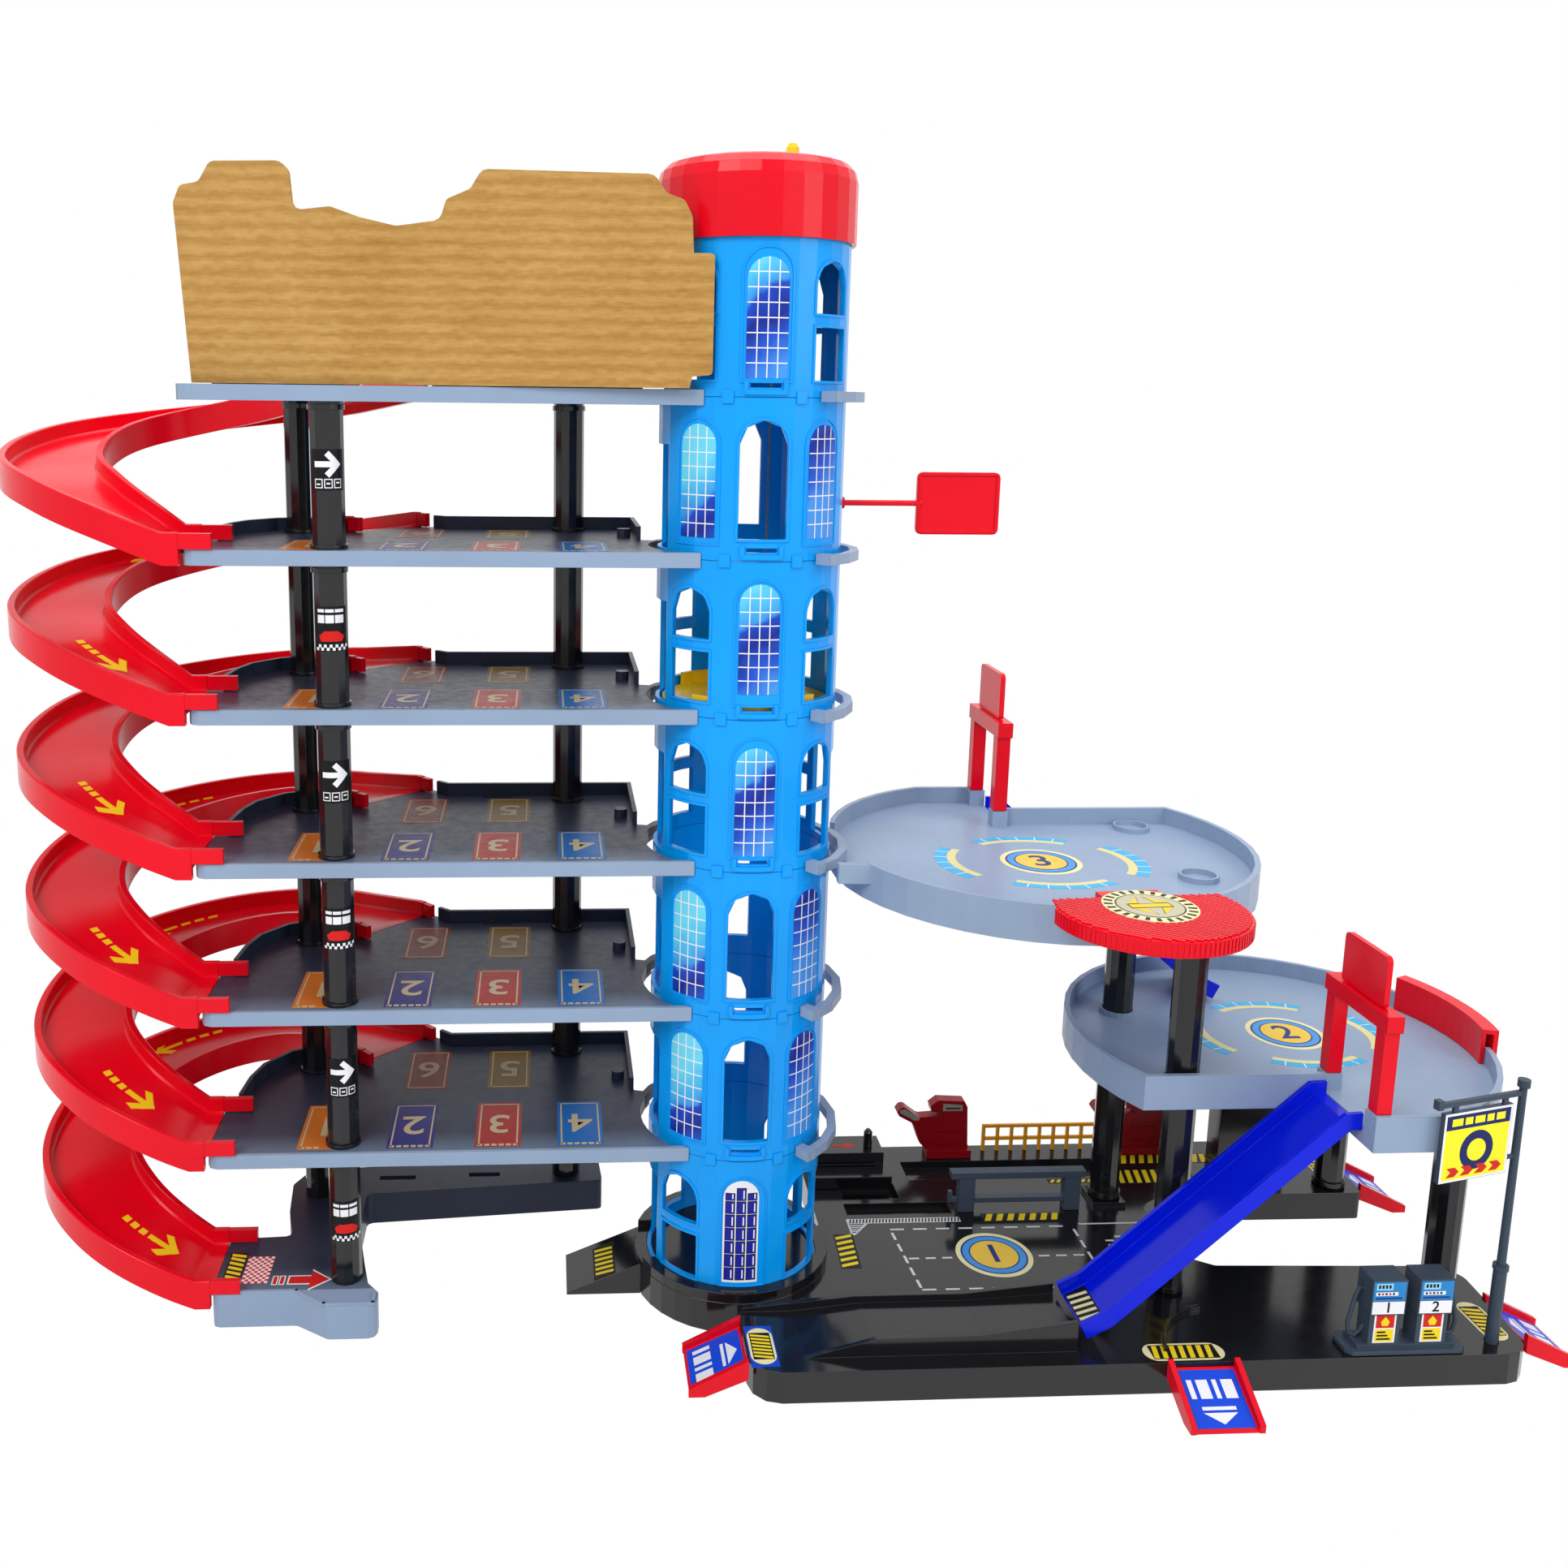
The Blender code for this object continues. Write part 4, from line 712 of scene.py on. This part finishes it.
def ramp_stations():
    """Points along the ramp's middle with the direction out of the bend"""
    turn = math.radians(RAMP_BEND_FROM)
    out = Vector((math.cos(turn), math.sin(turn)))
    along = Vector((-math.sin(turn), math.cos(turn)))
    bend = Vector(RAMP_CENTRE) + out * RAMP_MID_R
    slope = RAMP_RUN - 4
    stations = [(bend - along * RAMP_RUN, out, STORY), (bend - along * slope, out, STORY)]
    for index in range(1, 8):
        share = index / 8
        stations.append((bend - along * slope * (1 - share), out, STORY - (STORY - RAMP_FALL[0][1]) * share))
    count = 75
    for index in range(count + 1):
        angle = RAMP_BEND_FROM + (RAMP_BEND_TO - RAMP_BEND_FROM) * index / count
        turned = math.radians(angle)
        out = Vector((math.cos(turned), math.sin(turned)))
        stations.append((Vector(RAMP_CENTRE) + out * RAMP_MID_R, out, easy_height(angle)))
    stations.append((Vector((-297.6, stations[-1][0].y)), Vector((0, -1)), 0.0))
    return stations


def fine_ramps():
    """The six ramps again with an even, finely stepped bend"""
    half, inner, up, down, lip = RAMP_HALF, RAMP_FLOOR_HALF, RAMP_WALL_TOP, RAMP_WALL_FOOT, RAMP_LIP
    profile = [
        (-half, up - lip), (-half + lip, up), (-inner - lip, up), (-inner, up - lip),
        (-inner, RAMP_FILLET), (-inner + RAMP_FILLET, 0), (inner - RAMP_FILLET, 0), (inner, RAMP_FILLET),
        (inner, up - lip), (inner + lip, up), (half - lip, up), (half, up - lip), (half, down),
        (inner, down), (inner, RAMP_UNDER), (-inner, RAMP_UNDER), (-inner, down), (-half, down)]
    stations = ramp_stations()
    paint = PAINTS["red_plastic"]
    for deck in range(1, 7):
        floor = level(deck - 1)
        work = bmesh.new()
        rows = []
        for middle, out, height in stations:
            rows.append([work.verts.new(((middle.x + out.x * side) * MM, (middle.y + out.y * side) * MM,
                                         (floor + height + rise) * MM)) for side, rise in profile])
        skin(work, rows)
        work.faces.new(rows[0])
        work.faces.new(rows[-1][::-1])
        bmesh.ops.recalc_face_normals(work, faces=work.faces[:])
        mesh = to_mesh(f"fine_ramp_{deck}", work)
        ears = Plates(f"ramp_{deck}_ears")
        middle_of_wall = (half + inner) / 2
        for side in (-1, 1):
            middle = stations[-1][0].y + side * middle_of_wall
            ears.bar(-301, middle - EAR_HALF, -281, middle + EAR_HALF, paint, flat((0, 0, floor)), *ON_EAR)
            spot = stations[0][0] + stations[0][1] * side * middle_of_wall
            ears.bar(-3, -EAR_HALF, 8, EAR_HALF, paint,
                     flat((spot.x, spot.y, level(deck)), (1, -1, 0), (1, 1, 0)), *ON_EAR)
        ears.finish()
        soften(mesh)
        mesh.materials.append(paint)
        ramp = add_object(mesh.name, mesh)
        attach(ramp, "garage")
        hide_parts(f"ramp_{deck}")


# Where the arrow of each ramp starts, in degrees
ARROWS = ((1, 235), (2, 227.5), (3, 223.5), (4, 220), (5, 225))


def dress_ramps():
    """Two dashed arrows on each of the lower ramps, before its foot and in its bend"""
    arrows = Plates("ramp_arrows")
    yellow = printed(INK_YELLOW)
    for deck, first in ARROWS:
        place = on_ramp(deck, 84, first)
        for start, end in ((-1.5, 2.5), (4.7, 8.7), (10.9, 14.9)):
            arrows.bar(start, -2.1, end, 2.1, yellow, place, *ON_RAMP)
        for side in (-1, 1):
            head = [(36, 0), (31, 0), (23.5, side * 7.8), (27.8, side * 9.4)]
            arrows.shape(head[::side], yellow, place, *RAMP_BARB)
        arrows.bar(17.1, -1.8, 32.6, 1.8, yellow, place, *ON_RAMP)
        place = on_ramp(deck, 102, 106)
        for start in (0, 9, 18):
            arrows.bar(start, -2, start + 6, 2, yellow, place, *ON_RAMP)
        arrows.bar(27, -1.8, 42, 1.8, yellow, place, *ON_RAMP)
        for side in (-1, 1):
            head = [(46.5, 0), (42, 0), (34, side * 8), (38, side * 9.4)]
            arrows.shape(head[::side], yellow, place, *RAMP_BARB)
    arrows.finish()


COLUMN_R = 9.0
COLLAR = (9.9, 9.7, 8.2)
COLLAR_SIDES = 24
COLUMN_SIGNS = ((468, 489, "arrow"), (302.5, 325.5, "arrow"), (134.5, 157, "arrow"),
                (384.5, 408, "bars"), (220.5, 243.5, "bars"), (47.5, 71.5, "bars"))


def dress_columns():
    """Signs and joint rings of the columns that carry the decks"""
    signs = Plates("column_signs")
    rings = Plates("column_rings")
    black, white, red = printed(INK_BLACK), printed(INK_WHITE), printed(INK_RED)
    for low, high, kind in COLUMN_SIGNS:
        place = round_wall(FRONT_COLUMN, COLUMN_R, 8.5, low)
        tall = high - low
        half = 9.2
        signs.bar(-half, 0, half, tall, black, place, *SIGN_BOARD)
        if kind == "arrow":
            signs.bar(-6.6, tall - 9.1, 4.2, tall - 6.1, white, place, *ON_COLUMN)
            for side in (-1, 1):
                middle = tall - 7.6
                tip = [(7.4, middle), (3.4, middle), (-1.2, middle + side * 4.6), (1.0, middle + side * 6.8)]
                signs.shape(tip[::side], white, place, *ON_COLUMN)
            for index in range(3):
                x = -6.6 + index * 5
                signs.bar(x, 1.2, x + 4.2, 6, white, place, *ON_COLUMN)
                signs.bar(x + 0.5, 1.7, x + 3.7, 5.5, black, place, 0.24, -0.2, 1.7)
                foot = 2.8 + index * 0.4
                signs.bar(x + 1.2, foot, x + 3.0, foot + 0.8, white, place, 0.3, -0.2)
        else:
            for y, tops in ((tall - 2.8, 1.7), (tall - 8.4, 4.2)):
                for left, right in ((-7.2, -3.4), (-2.8, 1.6), (2.2, 7)):
                    signs.bar(left, y - 0.2, right, y - 0.2 + tops, white, place, *ON_COLUMN)
            signs.shape([(-5.5, 5.2), (6, 5.2), (7.2, 8), (3.5, 10.6), (-3.5, 10.6), (-6.5, 8)], red, place,
                        *ON_COLUMN)
            for row in range(2):
                for index in range(6):
                    left = -8.4 + index * 3 + row * 1.5
                    foot = 0.4 + row * 1.6
                    signs.bar(left, foot, left + 1.5, foot + 1.6, white, place, *ON_COLUMN)
    paint = PAINTS["black_plastic"]
    collar, sleeve, bore = [ring(0, 0, radius, COLLAR_SIDES) for radius in COLLAR]
    for spot in (FRONT_COLUMN, *BACK_COLUMNS):
        for deck in range(1, 7):
            rings.band(sleeve, bore, paint, flat((*spot, level(deck) - 10.8)), 1.4, -1.4)
            if deck < 6:
                rings.band(collar, bore, paint, flat((*spot, level(deck))), 2.2, 0.3)
    for spot, heights in TRAY_COLUMNS:
        for height in heights:
            rings.band(collar, bore, paint, flat((*spot, height)), 1.6, -1.6)
    signs.finish()
    rings.finish(smooth=True)


def hatch(plates, place, width, tall, count, ink, gap_ink, lean):
    """A sticker with leaning bars of ink across it"""
    plates.bar(0, 0, width, tall, gap_ink, place, 0.1)
    pitch = (width - 1.2) / count
    for index in range(count):
        left = 0.9 + index * pitch
        right = min(left + pitch * 0.55 + lean, width - 0.5)
        plates.shape([(left, 0.8), (left + pitch * 0.55, 0.8), (right, tall - 0.8),
                      (right - pitch * 0.55, tall - 0.8)], ink, place, *OVER)


RINGS = ((22.5, INK_CREAM), (19.6, INK_NAVY), (18.6, (70, 150, 220)), (14.8, INK_NAVY),
         (14.0, (238, 196, 70)))


def target(plates, x, y, z, number):
    """A level's number in round fields"""
    place = flat((x, y, z))
    for index, (radius, colour) in enumerate(RINGS):
        plates.shape(ring(0, 0, radius, 48), printed(colour), place, 0.1 + index * 0.05, -0.1)
    plates.digit(number, 25, printed(INK_NAVY), place, 0.4, -0.1)


def brackets(plates, x, y, z):
    """The four curved marks round a target"""
    place = flat((x, y, z))

    def mark(paint, inner, outer, turn, spread, steps, high):
        lines = sector(inner, outer, turn - spread, turn + spread, steps, 0.86)
        plates.band(*lines, paint, place, high, -0.1, closed=False)

    cyan, cream = printed((60, 176, 226)), printed((226, 214, 150))
    for turns, fields in (((0, 180), ((53, 59.5, cyan), (47.6, 52.4, cream))),
                          ((90, 270), ((48, 53.6, cyan), (43.2, 47.4, cream)))):
        for turn in turns:
            for inner, outer, paint in fields:
                mark(paint, inner, outer, turn, 33, 16, 0.12)
    white = printed(INK_WHITE)
    for turn in (-24, -12, 0, 12, 24, 66, 78, 90, 102, 114):
        inner, outer = (52.4, 59.8) if abs(turn) < 40 else (47.4, 53.9)
        for half_turn in (0, 180):
            mark(white, inner, outer, turn + half_turn, 0.35, 1, OVER[0])


def dress_trays():
    plates = Plates("tray_stickers")
    for spot, number in (((168, -18, 262), "3"), ((335, 10, 144), "2")):
        target(plates, *spot, number)
        brackets(plates, *spot)
    plates.finish()


TRAY_R = 118
TRAY_3 = (170, -3)
PAD_BEYOND = 16.9
PAD_Z = 270.5
PAD_THICK = 7.5
RIB_R = 45.3
RIB_BACK = 14.6
RIB_PITCH = 2.6
RIB_HALF = 0.65


def dress_helipad():
    """Ribbed top and edge, and the pad's round sticker"""
    lean = math.radians(4)
    reach = TRAY_R + PAD_BEYOND
    middle = Vector((TRAY_3[0] + math.sin(lean) * reach, TRAY_3[1] - math.cos(lean) * reach, PAD_Z))
    across = heading(4)
    back = Vector((-across.y, across.x, 0))
    top = middle + Vector((0, 0, PAD_THICK))
    place = flat(top, across, back)
    ribs = Plates("helipad_ribs")
    paint = PAINTS["red_plastic"]
    slant = math.radians(38)
    run = flat(top, across * math.cos(slant) - back * math.sin(slant),
               across * math.sin(slant) + back * math.cos(slant))
    for index in range(-17, 18):
        offset = index * RIB_PITCH
        spans = []
        for step in range(-92, 93):
            along = step / 2
            x = along * math.cos(slant) + offset * math.sin(slant)
            y = -along * math.sin(slant) + offset * math.cos(slant)
            if math.hypot(x, y) < RIB_R and y < RIB_BACK:
                spans.append(along)
        if len(spans) > 4:
            ribs.bar(spans[0], offset - RIB_HALF, spans[-1], offset + RIB_HALF, paint, run, 0.8, -0.4)
    for index in range(60):
        turn = 178 + 184 * index / 59
        turned = math.radians(turn)
        out = across * math.cos(turned) + back * math.sin(turned)
        spot = middle + out * 46.3
        side = Vector((-out.y, out.x, 0))
        ribs.bar(-0.55, 0.6, 0.55, 6.9, paint, flat(spot, side, (0, 0, 1)), 0.6, -0.5)
    ribs.finish()
    disc = Plates("helipad_sticker")
    ink = printed(INK_BLACK)
    for radius, colour, height in ((22.5, INK_CREAM, 0.9), (16.4, (60, 62, 60), 0.96),
                                   (15.6, (196, 190, 160), 1.02)):
        disc.shape(ring(0, 0, radius, 48), printed(colour), place, height, 0.2)
    for index in range(24):
        angle = index * 15
        disc.band(*sector(17.4, 21.6, angle - 3, angle + 3, 2), ink, place, 1.0, 0.4, closed=False)
    yellow = printed((240, 205, 40))
    dark = printed((70, 60, 30))
    for paint, grow, height in ((dark, 0.7, 1.08), (yellow, 0, 1.14)):
        disc.bar(-10 - grow, -2.2 - grow, 10 + grow, 2.2 + grow, paint, place, height, 0.4)
        for side in (-1, 1):
            for end in (1, -1):
                near, far = end * (3.4 - grow), end * (11.5 + grow)
                wing = [(side * 4.5, near), (side * (10 + grow), near), (side * (2 - grow), far)]
                disc.shape(wing[::side * end], paint, place, height, 0.4)
    disc.finish()


def dress_left_base():
    plates = Plates("left_base_stickers")
    yellow, ink = printed(INK_YELLOW), printed(INK_BLACK)
    red, white = printed(INK_RED), printed(INK_WHITE)
    top = LEFT_BASE_TOP
    checks = flat((-283, -31, top))
    hatch(plates, flat((-284, -33, top), (0, 1, 0), (-1, 0, 0)), 32, 10, 7, yellow, ink, 3.0)
    plates.bar(0, 0, 15, 26, red, checks, 0.1)
    for row in range(13):
        for column in range(8):
            if (row + column) % 2:
                left = column * 1.87
                plates.bar(left, row * 2, left + 1.87, row * 2 + 2, white, checks, 0.15, -0.1)
    arrow = flat((-234, -28.5, top))
    for grow, paint, height in ((0.9, white, 0.1), (0, red, 0.16)):
        half, barb, tip, tail = 3.4 + grow, 8.6 + grow * 1.6, 0.6 + grow * 1.6, -22 - grow
        outline = [(tail, -half), (-10, -half), (-10, -barb), (tip, 0), (-10, barb), (-10, half),
                   (tail, half)]
        plates.shape(outline, paint, arrow, height)
    for left in (-31, -27):
        for grow, paint, height in ((0.7, white, 0.1), (0, red, 0.16)):
            plates.bar(left - grow, -3.6 - grow, left + 2 + grow, 3.6 + grow, paint, arrow, height)
    plates.finish()
    rims = Plates("left_base_rims")
    slate = PAINTS["slate_plastic"]
    front = [(-296, -40), (-250, -40), (-233, -52.6), (-206, -52.6), (-206, -44)]
    for (x0, y0), (x1, y1) in zip(front, front[1:]):
        start = Vector((x0, y0, 0))
        run = Vector((x1, y1, 0)) - start
        place = flat((x0, y0, top), run, (-run.y, run.x, 0))
        rims.bar(-0.8, -0.9, run.length + 0.8, 0.9, slate, place, 1.6, -0.4)
    rims.finish()


def dress_base():
    plates = Plates("base_stickers")
    yellow, ink = printed(INK_YELLOW), printed(INK_BLACK)
    white, cream = printed((214, 214, 210)), printed(INK_CREAM)
    top = BASE_TOP
    ground = flat((0, 0, top))
    target(plates, 155.8, -15.4, top, "1")
    for left, right, y in ((100, 213, 13), (104, 213, -48)):
        count = 8
        pitch = (right - left) / count
        for index in range(count):
            start = left + index * pitch
            plates.bar(start, y - 0.7, start + pitch * 0.6, y + 0.7, white, ground)
    for x0, x1 in ((100, 104), (213, 213)):
        for index in range(5):
            y = -46 + index * 12
            lean = (x0 - x1) / 61
            x = x1 + lean * (y + 48)
            plates.shape(slanted(x - 0.8, y, x + 0.8, y + 7.5, lean * 7.5), white, ground)
    for index in range(3):
        plates.bar(104 + index * 10, -18.2, 110 + index * 10, -16.8, white, ground)
        plates.bar(182 + index * 10.5, -18.2, 188.5 + index * 10.5, -16.8, white, ground)
    plates.bar(75, 20.2, 146, 25.2, white, ground)
    for index in range(34):
        x = 76.2 + index * 2.05
        plates.shape(slanted(x, 20.7, x + 1.0, 24.7, 1.2), ink, ground, *OVER)
    plates.shape([(75, 8), (77.6, 8), (88, 20.4), (75, 20.4)], white, ground)
    for index in range(5):
        y = 10.4 + index * 2.1
        plates.bar(76, y, 77 + (y - 8) * 0.75, y + 0.9, ink, ground, *OVER)
    patch = flat((62, -26, top))
    plates.shape(slanted(0, 0, 12, 35, 2), ink, patch)
    for index in range(6):
        y = 1.2 + index * 5.6
        x = index * 0.32
        plates.shape([(x + 0.9, y), (x + 11, y + 3), (x + 11, y + 5.6), (x + 0.9, y + 2.6)], yellow, patch,
                     *OVER)
    hatch(plates, flat((160, 19.5, top)), 50, 9, 7, yellow, ink, 3.4)
    for x0, x1, y in ((218, 262, 15), (228, 266, -8), (236, 262, -31)):
        plates.bar(x0, y - 0.6, x1, y + 0.6, white, ground)
    for index in range(4):
        left, low = 228 + index * 7, -4 + index % 2 * 4
        plates.bar(left, low, left + 5, low + 1.4, white, ground)
    hatch(plates, flat((262, 60, top)), 52, 17, 9, yellow, ink, 3)
    hatch(plates, flat((216, 62, top)), 34, 5, 8, yellow, ink, 2)
    hatch(plates, flat((272, 84, top)), 62, 12, 10, yellow, ink, 4)
    red, on_platform = printed(INK_RED), flat((86, 82, 34))
    plates.shape([(0, 0), (9, 3.5), (0, 7)], red, on_platform)
    plates.bar(-8, 2.4, -1, 4.6, red, on_platform)
    slope = flat((-81, 0, 8.2), (0, -1, 0), Vector((46, 0, 18.9)))
    plates.bar(-15, -1, 17, 12.5, ink, slope, 0.12)
    for index in range(6):
        x = -12.6 + index * 4.6
        plates.shape(slanted(x, 0.2, x + 2.3, 11.4, 2.3), yellow, slope, *TOPMOST)
    plates.bar(-2.6, -111, 12.5, -77, printed((26, 70, 190)), ground, 0.06)
    for x, y, long, turn in ((230, -107.5, 44, 0), (5, -94, 30, 90), (408, -88, 34, 90), (404, 69, 34, 90)):
        across = heading(turn)
        place = flat((x, y, top), across, (-across.y, across.x, 0))
        half, side = long / 2, 6.9
        outline = []
        for middle, first in ((half - side, -90), (side - half, 90)):
            for step in range(13):
                bend = math.radians(first + 15 * step)
                outline.append((middle + side * math.cos(bend), side * math.sin(bend)))
        plates.shape(outline, cream, place)
        plates.bar(4 - half, -5.6, half - 4, 5.6, ink, place, 0.15, -0.1)
        count = 7
        pitch = (long - 10) / count
        for index in range(count):
            left = 4.4 - half + index * pitch
            plates.shape(slanted(left, -5, left + pitch * 0.55, 5, 1.8), yellow, place, *TOPMOST)
    plates.finish()
    signs = Plates("small_signs")
    side = round_wall(TRAY_COLUMNS[1][0], COLUMN_R, -40, 0)
    for low, high in ((34, 58), (224, 238)):
        signs.bar(-7.5, low, 7.5, high, yellow, side, *SIGN_BOARD)
        for index in range(3):
            y = low + 3 + index * (high - low - 5) / 3
            signs.bar(-4.5 + index, y, 3 + index, y + (high - low) * 0.14, ink, side, *ON_COLUMN)
    signs.finish()


# Where each flap meets the base, and its turn from the front in degrees
FLAPS = (((-3.8, -90), -90), ((237, -116.3), 0), ((423, -85), 90), ((417.3, 69), 90))
FLAP_LONG = 31
FLAP_RISE = 14.3
FLAP_LOW = 1.2


def dress_flaps():
    plates = Plates("flap_stickers")
    white = printed(INK_WHITE)
    for (x, y), angle in FLAPS:
        across = heading(angle)
        out = Vector((across.y, -across.x, 0))
        climb = -out * FLAP_LONG + Vector((0, 0, FLAP_RISE))
        origin = Vector((x, y, 0)) + out * FLAP_LONG + Vector((0, 0, FLAP_LOW))
        place = flat(origin, across, climb)
        plates.bar(-15.6, 1.6, 15.6, 32.4, printed((24, 74, 214)), place, 0.12, -0.4)
        tip, foot, bar = (3.6, 9.6, 11) if angle == 0 else (30, 24, 20.8)
        plates.shape([(-9, foot), (0, tip), (9, foot)], white, place, *TOPMOST)
        plates.bar(-9, bar, 9, bar + 1.8, white, place, *TOPMOST)
        low = 17 if angle == 0 else 5
        for left, right in ((-12.4, -9.6), (-7.4, -1.2), (1.2, 3.6), (6, 12.4)):
            plates.bar(left, low, right, low + 10, white, place, *TOPMOST)
    plates.finish()


def dress_pumps():
    plates = Plates("pump_stickers")
    white, red = printed(INK_WHITE), printed((206, 40, 30))
    yellow, ink = printed(INK_YELLOW), printed(INK_BLACK)
    screen, pale, navy = printed((44, 132, 196)), printed((150, 206, 232)), printed((20, 70, 140))
    for number, left in (("1", 327), ("2", 353)):
        upper = front((left, -113.5, 41))
        plates.bar(0.7, 8.2, 18.3, 19.2, screen, upper)
        plates.bar(2, 14.6, 11, 18.4, pale, upper, *OVER)
        plates.bar(2, 11.4, 14, 13.4, white, upper, *OVER)
        for index in range(5):
            paint = red if index % 2 else ink
            plates.bar(3 + index * 2, 11.8, 4.2 + index * 2, 13, paint, upper, *TOPMOST)
        for index in range(4):
            plates.bar(3 + index * 1.9, 15.6, 4.2 + index * 1.9, 17.6, ink, upper, *TOPMOST)
        plates.bar(2, 9.2, 16.6, 10.4, navy, upper, *OVER)
        plates.bar(0.7, 0.6, 18.3, 7.8, white, upper)
        plates.digit(number, 8.5, ink, front((left + 9.5, -113.5, 45.2)), *TOPMOST)
        lower = front((left + 1, -112, 23.3))
        plates.bar(2.6, 0.4, 14.6, 17.4, white, lower)
        plates.bar(3.6, 9.2, 13.6, 16.8, red, lower, *OVER)
        plates.shape([(7, 10.4), (10.2, 10.4), (11, 12.8), (8.6, 15.8), (6.2, 12.8)], yellow, lower,
                     0.22, -0.1)
        plates.bar(3.6, 1.2, 13.6, 8.4, yellow, lower, *OVER)
        for index in range(3):
            plates.bar(4.6, 2.2 + index * 2, 12 - index * 1.4, 3.2 + index * 2, ink, lower, 0.22, -0.1)
    plates.finish()


def dress_board():
    plates = Plates("board_sticker")
    along = heading(14)
    forward = Vector((along.y, -along.x, 0))
    origin = Vector((402, -105, 119)) - along * 52 + forward * 1.3
    place = flat(origin, along, (0, 0, 1))
    navy, white = printed((24, 34, 96)), printed(INK_WHITE)
    yellow, red = printed((250, 240, 40)), printed(INK_RED)
    plates.bar(0.2, 0.2, 44.8, 38.8, white, place)
    plates.bar(1.5, 1.5, 43.5, 37.5, yellow, place, 0.15, -0.1)
    plates.bar(1.5, 29.6, 43.5, 37.5, navy, place, *TOPMOST)
    for left, right in ((5, 12), (13.6, 18.5), (20, 26.5), (28, 32.6), (34.2, 40)):
        plates.bar(left, 31.6, right, 35.6, yellow, place, 0.26, -0.1)
    plates.shape(ring(23, 16.5, 11, 32), navy, place, *TOPMOST)
    plates.shape(ring(23, 16.5, 6.2, 28), yellow, place, 0.26, -0.1)
    chevron = ((0, 3), (5.4, 3), (8.2, 5.6), (5.4, 8.2), (0, 8.2), (2.8, 5.6))
    for index in range(4):
        left = 4.5 + index * 9.4
        plates.shape([(left + x, y) for x, y in chevron], red, place, 0.3, -0.1)
    plates.finish("sign_post")


def dress_flag():
    """Fine frame of beads round the flag's sunk field"""
    beads = Plates("flag_trim")
    paint = PAINTS["red_plastic"]
    face = front((115, -1.1, 461.5))
    for bead in ((-22, 15.2, 22, 16.2), (-22, -16.2, 22, -15.2), (-22, -15.2, -21, 15.2),
                 (21, -15.2, 22, 15.2)):
        beads.bar(*bead, paint, face, 0.35, -0.3)
    beads.finish("flag")


CORD_X = 9.9
CORD_LOW = 398.3
CORD_HIGH = 612.0
STRAND_R = 0.44
STRAND_OFF = 0.34
STRAND_LAY = 3 * 3.4
STRAND_SIDES = 6


def make_cord():
    """Two-strand cord from the lift's yoke to the winding spool"""
    long = CORD_HIGH - CORD_LOW
    work = bmesh.new()
    steps = 220
    for strand in range(2):
        rings = []
        for index in range(steps + 1):
            z = CORD_LOW + long * index / steps
            turn = 2 * math.pi * z / STRAND_LAY + math.pi * strand
            middle = (CORD_X + STRAND_OFF * math.cos(turn), STRAND_OFF * math.sin(turn))
            outline = ring(*middle, STRAND_R, STRAND_SIDES)
            rings.append([work.verts.new((x * MM, y * MM, z * MM)) for x, y in outline])
        skin(work, rings)
        work.faces.new(rings[0][::-1])
        work.faces.new(rings[-1])
    mesh = to_mesh("twisted_cord", work)
    mesh.shade_smooth()
    mesh.materials.append(PAINTS["cord"])
    cord = add_object("twisted_cord", mesh)
    route = [(CORD_X * MM, 0, (CORD_HIGH - long * index / 40) * MM) for index in range(41)]
    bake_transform(cord)
    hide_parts("lift_cord")
    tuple(route[0])


def dress_slides():
    """Leaning bars on the slope that the front slide ends on"""
    strips = Plates("slide_hatch")
    cream, ink = printed(INK_CREAM), printed(INK_BLACK)
    start = Vector((191, -83, 32))
    end = Vector((178, -83, 25.5))
    middle = flat(start, (0, -1, 0), start - end)
    strips.bar(-15.4, -13.6, 15.4, -1, ink, middle, 0.12, -0.2)
    for index in range(6):
        x = -13.4 + index * 4.8
        strips.shape(slanted(x, -12.8, x + 2.2, -1.8, 2.2), cream, middle, *TOPMOST)
    strips.finish()


def dress_kiosks():
    plates = Plates("kiosk_stickers")
    pale, ink = printed((150, 144, 130)), printed((60, 52, 48))
    for left in (123, 256):
        place = front((left, 97, BASE_TOP))
        plates.shape([(2, 32.6), (12, 27), (15.2, 27), (15.5, 29), (5.5, 35.2), (2, 34.4)], pale, place,
                     0.15)
        plates.shape([(31, 33.4), (44.5, 33.4), (44, 37.6), (31, 38.6)], pale, place, 0.15)
        plates.shape([(33, 34.6), (43, 34.6), (42.8, 35.8), (33, 36)], ink, place, *TOPMOST)
        for index in range(2):
            plates.bar(27, 10 + index * 9, 44, 11 + index * 9, PAINTS["dark_red_plastic"], place, 0.6)
    plates.finish()


bpy.context.scene.view_settings.view_transform = "Standard"
make_camera()
make_stage()
area_light("key", (-1.1, -1.6, 1.9), (0, 0, 0.3), (1.2, 1.2), 30)
area_light("fill", (1.5, -1.3, 1.2), (0.1, 0, 0.25), (1.0, 1.4), 14)
area_light("top", (0.1, 0.3, 2.2), (0, 0, 0.2), (1.6, 1.2), 18)
dress_nodes()
fine_ramps()
dress_tower()
dress_decks()
dress_ramps()
dress_columns()
dress_trays()
dress_helipad()
dress_left_base()
dress_base()
dress_slides()
dress_flaps()
dress_pumps()
dress_board()
dress_flag()
dress_kiosks()
make_cord()
